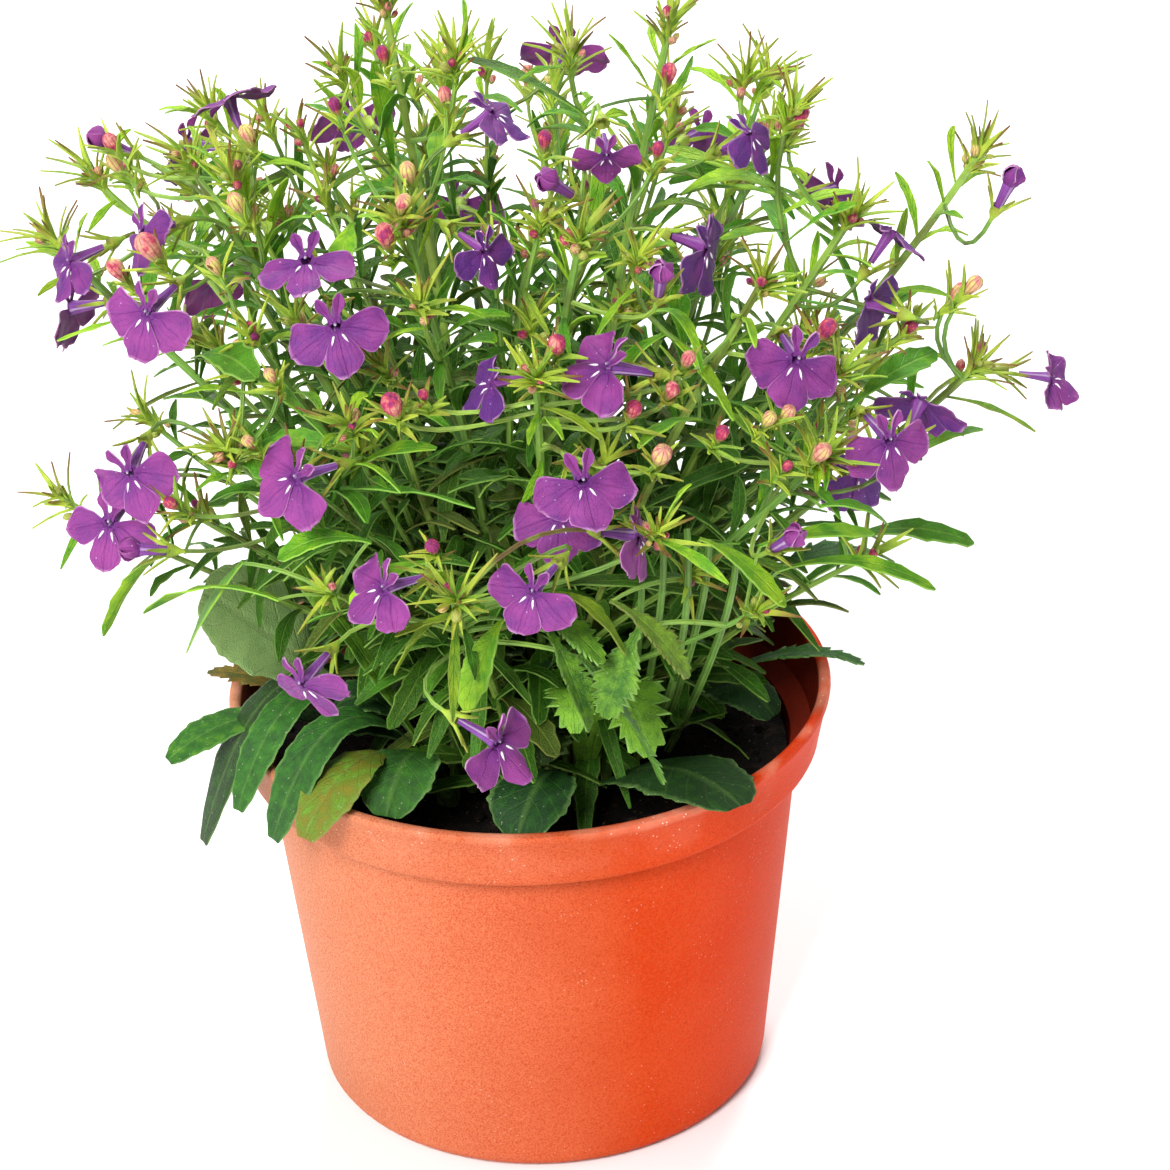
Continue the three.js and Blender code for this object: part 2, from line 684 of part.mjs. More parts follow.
function potMesh() {
  const { height, baseRadius, bodyRadius, bandRadius, rimRadius, bandHeight, wall, floor, edge } = POT;
  const step = height - bandHeight;
  let pot = turned([
    [0, 0],
    [baseRadius - edge, 0],
    [baseRadius - 0.25 * edge, 0.35 * edge],
    [baseRadius, edge],
    [bodyRadius, step - 1],
    [bandRadius, step + 0.4],
    [rimRadius - 0.5, height - 2],
    [rimRadius, height - 1],
    [rimRadius - 1, height],
    [rimRadius - 1.5 * wall, height - 0.8],
    [bandRadius - wall, step + 1],
    [bodyRadius - wall, step - 1],
    [baseRadius - wall, floor],
    [0, floor],
  ]);
  for (let i = 0; i < DRAIN.count; i++) {
    const at = heading((360 * (i + 0.5)) / DRAIN.count).multiplyScalar(DRAIN.ring);
    pot = pot.subtract(upright(at, DRAIN.radius, -floor, 2 * floor, DRAIN.sides));
  }
  return meshOf("pot", pot, COLOURS.pot);
}

// The soil follows the inside of the pot's wall, with a hole for each stem and crown.
function soilMesh(stems, rosettes) {
  const { baseRadius, bodyRadius, wall, floor, height, bandHeight } = POT;
  const slope = (bodyRadius - baseRadius) / (height - bandHeight - 1 - floor);
  const wallAt = (z) => baseRadius - wall + slope * (z - floor) - GAP - 0.2;
  const bottom = floor + GAP;
  let soil = turned([[0, bottom], [wallAt(bottom), bottom], [wallAt(SOIL_TOP), SOIL_TOP], [0, SOIL_TOP]]);
  const feet = [
    ...stems.map(({ curve }) => ({ at: curve.getPoint(0.04), radius: STEM.foot + 0.5 })), // they lean a little
    ...rosettes.map(({ crown }) => ({ at: crown, radius: CROWN.radius })),
  ];
  for (const { at, radius } of feet) {
    const wide = radius + GAP + 0.2;
    soil = soil.subtract(upright(at, wide, SOIL_TOP - ROOT_DEPTH - GAP, SOIL_TOP + ROOT_DEPTH, HOLE_SIDES));
  }
  return meshOf("soil", soil, COLOURS.soil);
}

function stemMesh(stem) {
  const { node, tip, aim, stalks, buds, shoots, flowers, leaves } = stem;
  const pieces = [tube(stem, STEM), ...leaves.map(blade), starAt(tip, aim, TUFT)];
  for (const shoot of shoots) pieces.push(tube(shoot, SHOOT), starAt(shoot.tip, shoot.aim, TUFT));
  for (const stalk of [...stalks, ...buds]) {
    pieces.push(tube({ curve: stalk.curve, side: stalk.across }, STALK), starAt(stalk.foot, stalk.out, CALYX));
  }
  pieces.push(...buds.map(closedBud), ...flowers.map(corolla));
  return meshOf(node, union(pieces), COLOURS.stem);
}

function rosetteMesh({ node, crown, leaves }) {
  const peg = upright(crown, CROWN.radius, SOIL_TOP - ROOT_DEPTH, CROWN.top + 0.6, CROWN.sides);
  return meshOf(node, union([peg, ...leaves.map(blade)]), COLOURS.rosette);
}

// ---------------------------------------------------------------- the plant in its pot

const rosettes = growRosettes();
const stems = growStems();
const blooms = growFlowers(stems);
growBuds(stems);
growTufts(stems);
growLeaves(stems);

const lobelia = new THREE.Group();
lobelia.add(potMesh(), soilMesh(stems, rosettes));
lobelia.add(...rosettes.map(rosetteMesh));
lobelia.add(...stems.map(stemMesh));
lobelia.add(...blooms.map((bloom) => meshOf(bloom.node, corolla(bloom), COLOURS.bloom)));

export default lobelia;
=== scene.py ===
import math
from contextlib import contextmanager

import bmesh
import bpy
import numpy as np
from mathutils import Matrix, Vector, noise
from numpy.linalg import norm


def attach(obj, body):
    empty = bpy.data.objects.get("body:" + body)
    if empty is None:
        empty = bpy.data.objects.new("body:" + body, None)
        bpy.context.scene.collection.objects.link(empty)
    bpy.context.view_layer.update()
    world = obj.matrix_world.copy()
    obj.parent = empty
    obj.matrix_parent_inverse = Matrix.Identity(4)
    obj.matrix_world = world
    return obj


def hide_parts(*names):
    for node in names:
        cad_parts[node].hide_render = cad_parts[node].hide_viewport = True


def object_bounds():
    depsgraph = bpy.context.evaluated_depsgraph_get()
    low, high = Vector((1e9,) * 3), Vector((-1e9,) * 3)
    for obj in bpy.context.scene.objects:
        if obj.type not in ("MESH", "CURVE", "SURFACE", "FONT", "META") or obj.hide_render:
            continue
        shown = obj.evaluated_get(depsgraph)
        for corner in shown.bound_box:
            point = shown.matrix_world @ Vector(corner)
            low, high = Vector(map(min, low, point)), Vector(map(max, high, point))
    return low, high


# A trailing lobelia in a round plastic pot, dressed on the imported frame. Metres, +Z up, the plant's front
# towards -Y. The growth plan works in millimetres, and MM turns it into metres. A bearing turns round the
# pot's axis from its front towards +X, and a rise turns up from level, in degrees.

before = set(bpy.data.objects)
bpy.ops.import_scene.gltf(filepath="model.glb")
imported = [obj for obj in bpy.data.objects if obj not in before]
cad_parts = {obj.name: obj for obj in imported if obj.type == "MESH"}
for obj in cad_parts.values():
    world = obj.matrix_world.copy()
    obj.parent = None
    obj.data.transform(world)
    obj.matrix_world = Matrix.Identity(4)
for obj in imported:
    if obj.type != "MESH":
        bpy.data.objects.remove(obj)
cad_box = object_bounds()
bpy.ops.object.select_all(action="DESELECT")

MM = 0.001
UP = np.array([0.0, 0.0, 1.0])
NEXT_TURN = 137.5  # from one leaf on a stem to the next, in degrees

# ---------------------------------------------------------------- sizes, as in the part

POT = dict(height=87, base=46, body=53.5, band=57.6, rim=60, band_height=12, wall=1.6, floor=1.8, edge=3)
DRAIN = dict(radius=4, ring=30, count=6)
SOIL_TOP, ROOT_DEPTH, GAP = 72, 5, 0.3
CENTRE, RADII = np.array([-2.0, 5.0, 120.0]), np.array([92.0, 85.0, 105.0])
STEM = dict(foot=1.15, tip=0.75, rising=0.42, arriving=0.38, inmost=5, spread=17)
SHOOT = dict(foot=0.6, tip=0.5, reach=34)
STALK = dict(tip=0.5, reach=18, sunk=0.4)
TUBE = dict(length=8.2, sunk=0.2)
CALYX_SEAT, STAR_SUNK, JOINED_SUNK, BUD_RADIUS = 3.2, 0.8, 1.8, 1.7
LEAF = dict(spacing=25, shortest=15, longest=30, narrowest=2.4, widest=6.2)
CROWN = dict(reach=27, radius=2.1, top=75)

# The middles of a flower's lobes, in degrees round its face.
LOWER, UPPER = (200, 270, 340), (428, 472)
# Leaf outlines: [share of the length, share of half the width].
NARROW = [[0, 0.15], [0.5, 1], [1, 0]]
TOOTHED = [[0, 0.12], [0.3, 0.2], [0.5, 0.9], [0.6, 0.74], [0.7, 1], [0.8, 0.7], [0.88, 0.78], [1, 0.1]]
BLUNT = [[0, 0.12], [0.42, 0.16], [0.54, 0.74], [0.68, 1], [0.84, 0.94], [0.95, 0.62], [1, 0.25]]
BROAD = [[0, 0.15], [0.2, 0.4], [0.38, 0.86], [0.6, 1], [0.82, 0.9], [0.94, 0.6], [1, 0.25]]

# Stems: [bearing, rise, share of the mound's reach at the tip, sideways bow in mm].
STEMS = [
    [-113, 77, 1.03, 3], [99, 69, 1.02, -3], [-84, 51, 1.0, 4], [-97, 31, 1.1, -4], [74, 42, 1.0, 3],
    [98, 33, 1.2, -5], [-17, 54, 1.0, 2], [15, 51, 1.0, -3], [5, 37, 1.0, 3], [44, 42, 1.0, -2],
    [43, 23, 1.0, 4], [-6, 15, 1.0, -3], [-37, 27, 1.0, 3], [82, 19, 1.04, -3], [133, 36, 1.0, 3],
    [172, 28, 1.0, -4], [205, 52, 1.0, 3], [232, 24, 1.0, -3],
]
# Side shoots: [bearing, rise, share].
TUFTS = [
    [-66, 71, 1.0], [-20, 78, 1.0], [45, 77, 1.0], [84, 60, 1.02], [70, 54, 1.05], [-92, 41, 1.1],
    [-62, 54, 1.0], [-8, 45, 1.0], [24, 44, 1.0], [50, 30, 1.0], [-20, 32, 1.0], [14, 20, 1.0],
    [118, 50, 1.0], [150, 18, 1.0], [190, 42, 1.0], [240, 46, 1.0],
]
# Open flowers: [bearing, rise, share, bearing faced, rise faced, roll, bend of the lower lip, 1 for a node of
# its own].
BLOOMS = [
    [-97, 57, 1.0, -147, 57, 180, 0, 1], [0, 69, 1.0, 84, 36, 0, 20, 1], [-84, 34, 1.06, -60, -10, 0, 40, 1],
    [-71, 43, 1.02, -50, 4, 40, 30, 1], [-62, 37, 1.02, -36, -14, -6, 40, 1],
    [-33, 48, 1.0, -12, 30, 10, 48, 1], [-23, 41, 1.08, 4, 0, 12, 35, 1], [-2, 51, 1.0, 46, -14, 0, 35, 1],
    [-48, 22, 1.06, -16, -16, 24, 35, 1], [-55, 15, 1.0, -24, -6, -4, 35, 1],
    [-26, 26, 1.0, -60, 0, -30, 50, 1], [-14, 16, 1.0, -64, 0, -20, 50, 1], [-24, 5, 1.0, -36, -18, 20, 0, 1],
    [-2, 0, 1.0, 62, -20, 16, 55, 1], [3, 16, 1.02, -34, -12, -16, 40, 1], [9, 26, 1.08, 14, 4, 4, 45, 1],
    [-1, 38, 0.97, -84, 0, -16, 50, 1], [15, 37, 1.02, -80, 16, -20, 55, 1], [27, 61, 1.0, 4, -20, 0, 0, 1],
    [62, 56, 1.02, 62, 34, 0, 0, 1], [41, 33, 1.04, 14, -6, -24, 35, 1], [50, 22, 1.06, 28, -12, 0, 35, 1],
    [64, 22, 1.0, 150, 35, 0, 0, 1], [89, 13, 1.17, 82, -6, 20, 50, 1], [74, 38, 1.04, 118, 50, 10, 0, 1],
    [16, 20, 0.97, 78, -4, 0, 20, 0], [69, 34, 0.98, -120, 8, -20, 0, 0], [38, 48, 0.98, 70, -14, 10, 20, 0],
    [55, 18, 0.9, 30, 10, 20, 0, 1], [8, 23, 0.86, -6, -4, -4, 40, 1], [150, 30, 1.02, 152, -10, 0, 35, 1],
    [168, 46, 1.0, 166, 6, 0, 35, 1], [186, 18, 1.02, 178, -20, 0, 35, 1], [203, 34, 1.02, 206, -8, 0, 35, 1],
    [222, 14, 1.02, 224, -20, 0, 35, 1], [236, 38, 1.02, 238, -6, 0, 35, 1],
    [252, 20, 1.04, 248, -16, 0, 35, 1], [128, 26, 1.02, 128, -12, 0, 35, 1],
]
# Closed and opening buds: [bearing, rise, share, bearing faced, rise faced].
BUDS = [
    [15, 56, 1.02, -52, 40], [24, 43, 1.04, 10, 60], [80, 33, 1.22, 84, 66], [32, 16, 1.02, 40, 40],
    [-97, 44, 1.06, -84, 30], [-16, 53, 1.02, 10, 50], [22, 33, 1.02, 20, 46], [-44, 15, 1.0, -82, 10],
    [134, 32, 1.02, 100, 50], [176, 34, 1.04, 180, 44], [-116, 34, 1.04, -112, 40],
]
# Basal rosettes: each crown's bearing, then its leaves as
# [bearing, reach, tip's height, arch's height, width, roll, outline].
ROSETTES = [
    (-80, [[-75, 64, 118, 104, 20, -50, BLUNT], [-70, 75, 86, 100, 8, 0, TOOTHED],
           [-58, 67, 80, 118, 9, -10, TOOTHED], [-66, 71, 69, 124, 11, 0, BLUNT],
           [-90, 64, 91, 92, 7, 0, TOOTHED], [-112, 64, 84, 108, 12, 0, BLUNT]]),
    (-38, [[-40, 67, 83, 106, 13, 0, BLUNT], [-30, 55, 85, 103, 16, 0, BLUNT],
           [-49, 66, 78, 120, 8, 0, TOOTHED], [-60, 44, 94, 104, 13, 0, BLUNT],
           [-55, 54, 134, 112, 5.5, -30, TOOTHED]]),
    (22, [[-3, 52, 82, 98, 17, 0, BLUNT], [34, 70, 91, 98, 19, 0, BROAD], [22, 60, 101, 126, 11, 0, TOOTHED],
          [9, 57, 107, 124, 9, 0, TOOTHED]]),
    (98, [[74, 50, 84, 96, 13, 0, BROAD], [80, 67, 94, 100, 6, 0, TOOTHED], [107, 80, 96, 120, 6, 0, TOOTHED],
          [128, 62, 90, 108, 15, 0, BLUNT]]),
    (190, [[158, 64, 92, 112, 15, 0, BLUNT], [184, 68, 84, 118, 14, 0, TOOTHED],
           [212, 62, 93, 110, 16, 0, BLUNT], [236, 66, 88, 114, 12, 0, TOOTHED]]),
]


# ---------------------------------------------------------------- the growth plan, as in the part


def cos(degrees):
    return math.cos(math.radians(degrees))


def sin(degrees):
    return math.sin(math.radians(degrees))


def heading(bearing, rise=0.0):
    """The unit vector with a bearing and a rise."""
    return np.array([cos(rise) * sin(bearing), -cos(rise) * cos(bearing), sin(rise)])


def on_mound(bearing, rise, share):
    return heading(bearing, rise) * RADII * share + CENTRE


def unit(v):
    return v / norm(v)


def turned_about(v, axis, degrees):
    return v * cos(degrees) + np.cross(axis, v) * sin(degrees) + axis * np.dot(axis, v) * (1 - cos(degrees))


def seeded(seed):
    """A repeatable stream of numbers from 0 to 1."""
    state = seed
    while True:
        state = (state * 48271) % 2147483647
        yield state / 2147483647


class Curve:
    """A Bezier curve of three or four points."""

    def __init__(self, *points):
        self.points = np.array(points, float)

    def at(self, t):
        t = np.asarray(t, float)[..., None]
        p, s = self.points, 1 - t
        if len(p) == 3:
            return s * s * p[0] + 2 * s * t * p[1] + t * t * p[2]
        return s**3 * p[0] + 3 * s * s * t * p[1] + 3 * s * t * t * p[2] + t**3 * p[3]

    def tangent(self, t):
        t = np.asarray(t, float)
        step = self.at(np.minimum(1, t + 1e-4)) - self.at(np.maximum(0, t - 1e-4))
        return step / norm(step, axis=-1, keepdims=True)

    def length(self):
        ends = self.at(np.linspace(0, 1, 201))
        return float(norm(np.diff(ends, axis=0), axis=1).sum())

    def balls(self, length, size, start=0.0):
        """(place, radius) of balls every 2 mm along the curve. A size is a number or a function of the
        share."""
        count = max(3, math.ceil(length / 2))
        shares = [start + (1 - start) * i / count for i in range(count + 1)]
        return [(self.at(t), size(t) if callable(size) else size) for t in shares]


class Room:
    """What has grown so far, as small balls, so that what grows later keeps clear of it."""

    def __init__(self):
        self.balls, self.owners, self.count = np.zeros((40000, 4)), np.zeros(40000, int), 0
        self.names = {}

    def number(self, name):
        return self.names.setdefault(name, len(self.names))

    def remember(self, name, points):
        for p, r in points:
            self.balls[self.count] = [*p, r]
            self.owners[self.count] = self.number(name)
            self.count += 1

    def is_clear(self, name, points, margin):
        """True where balls clear the pot, the soil and all that has grown but the named piece."""
        return self.clears(points, margin, lambda owners: owners != self.number(name))

    def clears_flowers(self, points, margin):
        """True where balls clear the pot, the soil and every open flower, whatever leaves they cross."""
        flowers = [number for name, number in self.names.items() if name.startswith("bloom")]
        return self.clears(points, margin, lambda owners: np.isin(owners, flowers))

    def clears(self, points, margin, counts):
        if any(in_pot(p, r) for p, r in points):
            return False
        balls = self.balls[: self.count][counts(self.owners[: self.count])]
        places = np.array([p for p, _ in points])
        near = np.array([r for _, r in points])[:, None] + balls[None, :, 3] + margin
        apart = ((places[:, None, :] - balls[None, :, :3]) ** 2).sum(-1)
        return not (apart <= near * near).any()


def in_pot(p, r):
    """True where a ball touches the soil or comes close to the pot's rim and wall."""
    reach = math.hypot(p[0], p[1])
    if p[2] - r < SOIL_TOP + GAP and reach < POT["body"]:
        return True
    inside, outside = POT["body"] - POT["wall"] - r - 1, POT["rim"] + r + 1
    return p[2] - r < POT["height"] + 1 and inside < reach < outside


room = Room()


def grow_near(place, grow):
    """Grows something at a place on the mound, or else a little beside it or further out."""
    nudges = [[0, 0, out] for out in (0, 0.04, -0.04)] + [[4, 0, 0], [-4, 0, 0], [0, 4, 0], [0, -4, 0]]
    nudges += [[turn, lift, 0.03] for lift in (5, -5) for turn in (5, -5)]
    bearing, rise, share = place
    for turn, lift, out in nudges:
        if grow(on_mound(bearing + turn, rise + lift, share + out)):
            return


def tip_aim(bearing, rise):
    return heading(bearing, 35 + 0.6 * rise)


def stem_curve(foot, tip, side, aim, bow, depth, arriving):
    """A stem that goes straight up from its root and arrives at its tip along `aim`."""
    rising = foot + UP * (depth + STEM["rising"] * (tip[2] - SOIL_TOP)) + side * bow / 2
    return Curve(foot, rising, tip - aim * arriving * norm(tip - foot) + side * bow, tip)


def grow_stems():
    stems = []
    for index, (bearing, rise, share, bow) in enumerate(STEMS):
        foot = heading(bearing) * (STEM["inmost"] + STEM["spread"] * cos(rise))
        foot[2] = SOIL_TOP - ROOT_DEPTH
        tip, side, aim = on_mound(bearing, rise, share), heading(bearing + 90), tip_aim(bearing, rise)
        curve = stem_curve(foot, tip, side, aim, bow, ROOT_DEPTH, STEM["arriving"])
        node, length = f"leafy_stem_{index + 1:02d}", curve.length()
        room.remember(node, curve.balls(length, STEM["foot"]))
        stems.append(dict(node=node, tip=tip, side=side, curve=curve, length=length, aim=aim,
                          stalks=[], buds=[], shoots=[], leaves=[]))
    return stems


def reach_for(stems, point, aim, reach):
    """The stem that can best hold something at a point, with the clear curve that reaches it along `aim`."""
    choices = []
    for stem in stems:
        for step in range(10, 33):
            joint = stem["curve"].at(0.03 * step)
            span = norm(joint - point)
            above = max(0, joint[2] - point[2] + 0.35 * span)
            choices.append(((span - reach) ** 2 + above**2, stem, joint, span))
    choices.sort(key=lambda choice: choice[0])
    for _, stem, joint, span in choices[:60]:
        curve = Curve(joint, point - aim * 0.5 * span, point + aim * STALK["sunk"])
        path = curve.balls(span, STALK["tip"], 0.1)
        if room.is_clear(stem["node"], path, 0.4):
            room.remember(stem["node"], path)
            return stem, curve, span
    return None


def frame_of(bearing, rise, roll, bend=0):
    """The way something faces, with its up and across. `bend` is how far its lower lip comes forward."""
    out = heading(bearing, rise)
    up = turned_about(unit(UP - out * np.dot(UP, out)), out, roll)
    return dict(out=out, up=up, across=np.cross(up, out), bend=math.radians(bend))


def on_face(flower, x, y, height):
    """A point on a flower's face."""
    if y < 0:
        y, height = y * math.cos(flower["bend"]), height - y * math.sin(flower["bend"])
    return flower["place"] + flower["across"] * x + flower["up"] * y + flower["out"] * height


def flower_balls(flower):
    """Balls along a flower's tube and over its lobes, those by their lobe, reach, height and radius."""
    over = [(lobe, *ball) for lobe in LOWER for ball in ((3.4, 0, 2.4), (7.2, -0.8, 3.2))]
    over += [(lobe, *ball) for lobe in UPPER for ball in ((3, 0, 1.2), (5.6, -2.2, 1.2))]
    points = []
    for middle, reach, height, radius in over:
        points.append((on_face(flower, reach * cos(middle), reach * sin(middle), height), radius))
    return points + [(flower["place"] - flower["out"] * depth, 1.6) for depth in (2, 4, 6, 8)]


def held_by(stems, points, margin, foot, aim, reach):
    """What reach_for gives, where the balls of what is held are clear."""
    return room.is_clear("", points, margin) and reach_for(stems, foot, aim, reach)


def grow_flowers(stems):
    blooms = []
    for bearing, rise, share, face_bearing, face_rise, roll, bend, own in BLOOMS:

        def grow(place):
            flower = dict(place=place, own=own, **frame_of(face_bearing, face_rise, roll, bend))
            back = TUBE["length"] - TUBE["sunk"] + CALYX_SEAT - STAR_SUNK - (0 if own else JOINED_SUNK)
            foot, points = place - flower["out"] * back, flower_balls(flower)
            held = held_by(stems, points, 0.6, foot, flower["out"], STALK["reach"])
            if not held:
                return False
            stem, curve, _ = held
            stem["stalks"].append(dict(flower, foot=foot, curve=curve))
            flower["node"] = f"bloom_{sum(b['own'] for b in blooms) + 1:02d}" if own else stem["node"]
            blooms.append(flower)
            room.remember(flower["node"], points)
            return True

        grow_near([bearing, rise, share], grow)
    return blooms


def grow_buds(stems):
    for index, (bearing, rise, share, face_bearing, face_rise) in enumerate(BUDS):

        def grow(place):
            bud = dict(place=place, index=index, **frame_of(face_bearing, face_rise, 0))
            foot = place + bud["out"] * (STAR_SUNK - CALYX_SEAT)
            points = [(place + bud["out"] * height, BUD_RADIUS) for height in (0, 2, 4, 6)]
            held = held_by(stems, points, 0.6, foot, bud["out"], STALK["reach"])
            if not held:
                return False
            held[0]["buds"].append(dict(bud, foot=foot, curve=held[1]))
            room.remember(held[0]["node"], points)
            return True

        grow_near([bearing, rise, share], grow)


def tuft_balls(tip, aim):
    return [(tip + aim * height, 1 + 0.45 * height) for height in (0, 3, 6, 9)]


def grow_tufts(stems):
    for stem in stems:
        room.remember(stem["node"], tuft_balls(stem["tip"], stem["aim"]))
    for bearing, rise, share in TUFTS:

        def grow(tip):
            aim = tip_aim(bearing, rise)
            points = tuft_balls(tip, aim)
            held = held_by(stems, points, 0.2, tip, aim, SHOOT["reach"])
            if not held:
                return False
            stem, curve, span = held
            stem["shoots"].append(dict(tip=tip, aim=aim, side=stem["side"], curve=curve, length=span))
            room.remember(stem["node"], points)
            return True

        grow_near([bearing, rise, share], grow)


def width_at(outline, t):
    following = max(1, next((i for i, (share, _) in enumerate(outline) if share >= t), -1))
    (t0, w0), (t1, w1) = outline[following - 1], outline[following]
    return w0 + (w1 - w0) * (t - t0) / (t1 - t0)


def grow_rosettes():
    rosettes = []
    for index, (bearing, leaves) in enumerate(ROSETTES):
        node, crown = f"rosette_{index + 1}", heading(bearing) * CROWN["reach"]
        crown[2] = CROWN["top"]
        grown = []
        for leaf_bearing, reach, height, arch, width, roll, outline in leaves:
            tip = heading(leaf_bearing) * reach
            tip[2] = height
            middle = crown + (tip - crown) * 0.55
            middle[2] = arch
            curve, side = Curve(crown, middle, tip), unit(np.cross(tip - crown, UP))
            side = turned_about(side, unit(tip - crown), roll)
            for p, wide in curve.balls(curve.length(), lambda t: width / 2 * width_at(outline, t), 0.1):
                radius = max(0.6, 0.38 * wide)
                room.remember(node, [(p + side * share * wide, radius) for share in (-0.62, 0, 0.62)])
            grown.append(dict(curve=curve, side=side, width=width, bearing=leaf_bearing, outline=outline))
        rosettes.append(dict(node=node, crown=crown, leaves=grown))
    return rosettes


def leaf_at(axis, t, open_by, turn, long, droop):
    """The curve and the direction across of a leaf that grows from a stem at a share of it."""
    root, along = axis["curve"].at(t), axis["curve"].tangent(t)
    rising = along * cos(open_by) + turned_about(axis["side"], along, turn) * sin(open_by)
    tip = root + rising * long - UP * droop * long
    return Curve(root, root + rising * long / 2, tip), unit(np.cross(rising, UP))


def leaf_balls(curve, long, width, outline=NARROW, share=0.4, least=0.1, start=0.15):
    return curve.balls(long, lambda t: share * width * width_at(outline, t) + least, start)


def grow_leaves(stems):
    draw, last = seeded(2024), 0.93
    for stem in stems:
        axes = [dict(stem, first=0.1)] + [dict(shoot, first=0.25) for shoot in stem["shoots"]]
        for axis in axes:
            first = axis["first"]
            count = int(axis["length"] * (last - first) / LEAF["spacing"])
            start = 360 * next(draw)
            for i in range(count + 1):
                t = first + (last - first) * i / max(1, count)
                size, droop, open_by = next(draw), 0.09 + 0.3 * next(draw), 42 + 22 * next(draw)
                low = 1 - t
                long = LEAF["shortest"] + (LEAF["longest"] - LEAF["shortest"]) * (0.35 * size + 0.65 * low)
                width = LEAF["narrowest"] + (LEAF["widest"] - LEAF["narrowest"]) * (0.2 * size + 0.8 * low)
                for aside in (0, 35, -35, 75, -75, 120, -120, 170):
                    turn = start + NEXT_TURN * i + aside
                    curve, across = leaf_at(axis, t, open_by, turn, long, droop)
                    points = leaf_balls(curve, long, width, least=0.2)
                    if room.is_clear(stem["node"], points, 0.35) and room.is_clear("", points[2:], 0):
                        room.remember(stem["node"], points)
                        linear = t > 0.62 or first > 0.2
                        stem["leaves"].append(dict(curve=curve, side=across, width=width, linear=linear))
                        break


# ---------------------------------------------------------------- working by hand


def hold(*objects):
    """Takes these objects in hand and lets go of the rest. The first is the one worked on."""
    bpy.ops.object.select_all(action="DESELECT")
    for obj in objects:
        obj.select_set(True)
    bpy.context.view_layer.objects.active = objects[0]


@contextmanager
def editing(obj):
    hold(obj)
    bpy.ops.object.mode_set(mode="EDIT")
    yield
    bpy.ops.object.mode_set(mode="OBJECT")


def choose(test, kind="VERT"):
    """Picks the corners or faces of the mesh being edited whose middle passes a test."""
    bpy.ops.mesh.select_mode(type=kind)
    bpy.ops.mesh.select_all(action="DESELECT")
    mesh = bpy.context.object.data
    parts = bmesh.from_edit_mesh(mesh)
    for item in parts.verts if kind == "VERT" else parts.faces:
        item.select_set(bool(test(item.co if kind == "VERT" else item.calc_center_median())))
    parts.select_flush_mode()
    bmesh.update_edit_mesh(mesh)


def finished(obj, kind, **settings):
    """Applies a modifier."""
    hold(obj)
    modifier = obj.modifiers.new(kind.title(), kind)
    for key, value in settings.items():
        setattr(modifier, key, value)
    bpy.ops.object.modifier_apply(modifier=modifier.name)
    return obj


def merged(obj, apart=1e-4):
    """Doubles merged and faces turned outwards."""
    with editing(obj):
        bpy.ops.mesh.select_all(action="SELECT")
        bpy.ops.mesh.remove_doubles(threshold=apart)
        bpy.ops.mesh.normals_make_consistent(inside=False)
    return obj


def removed(*objects):
    for obj in objects:
        bpy.data.objects.remove(obj)


def numbers_of(items, key, count):
    """A number or vector of every corner, as rows of an array."""
    values = np.empty(count * 3)
    items.foreach_get(key, values)
    return values.reshape(-1, 3)


def corners(mesh):
    return numbers_of(mesh.vertices, "co", len(mesh.vertices))


def reshaped(obj, move):
    """Moves every corner of a mesh with a function of all the corners."""
    obj.data.vertices.foreach_set("co", move(corners(obj.data)).astype(np.float32).ravel())
    obj.data.update()
    return obj


def painted(obj, material):
    obj.data.materials.clear()
    obj.data.materials.append(material)
    return obj


def look_at_all(obj, look):
    """Writes the `look` of every corner: its age and painted shade, its red tinge, and its yellowing. On the
    pot the first number is the inner wall's stain and painted shade, on a flower its painted shade.
    """
    mesh = obj.data
    attribute = mesh.attributes.get("look") or mesh.attributes.new("look", "FLOAT_VECTOR", "POINT")
    looks = np.broadcast_to(np.asarray(look, np.float32), (len(mesh.vertices), 3))
    attribute.data.foreach_set("vector", looks.ravel())
    return obj


def wrap(obj):
    """A UV map round an upright shape: u goes once round it, v from its foot to its top."""
    mesh = obj.data
    layer = mesh.uv_layers.get("UVMap") or mesh.uv_layers.new(name="UVMap")
    co = corners(mesh)
    low, high = co[:, 2].min(), co[:, 2].max()
    round_by = np.arctan2(co[:, 1], co[:, 0]) / (2 * math.pi) + 0.5
    for face in mesh.polygons:
        us = round_by[list(face.vertices)]
        if us.max() - us.min() > 0.5:
            us = np.where(us < 0.5, us + 1, us)
        for loop, vertex, u in zip(face.loop_indices, face.vertices, us):
            layer.data[loop].uv = (u, (co[vertex, 2] - low) / (high - low))
    return obj


def raised(name, sides, profile):
    """An upright round shape: a short cylinder whose cap is drawn on through [radius, height] rings."""
    bpy.ops.object.select_all(action="DESELECT")
    (r0, z0), (r1, z1) = profile[:2]
    middle = (0, 0, (z0 + z1) / 2)
    bpy.ops.mesh.primitive_cone_add(vertices=sides, radius1=r0, radius2=r1, depth=z1 - z0, location=middle)
    obj = bpy.context.object
    obj.name = name
    bpy.ops.object.transform_apply(location=True, rotation=True, scale=True)
    with editing(obj):
        choose(lambda co: abs(co.z - z1) < 1e-4 * abs(z1 - z0), "FACE")
        for (before, low), (radius, high) in zip(profile[1:], profile[2:]):
            bpy.ops.mesh.extrude_region()
            bpy.ops.transform.translate(value=(0, 0, high - low))
            share = radius / before
            bpy.ops.transform.resize(value=(share, share, 1), center_override=(0, 0, high))
    return obj


def fluted(obj, count, depth):
    """Draws in every second corner round an upright shape."""

    def draw_in(co):
        turn = np.round(np.arctan2(co[:, 1], co[:, 0]) / math.pi * count)
        share = np.where(turn % 2 == 0, 1.0, 1.0 - depth)
        return co * np.c_[share, share, np.ones(len(co))]

    return reshaped(obj, draw_in)


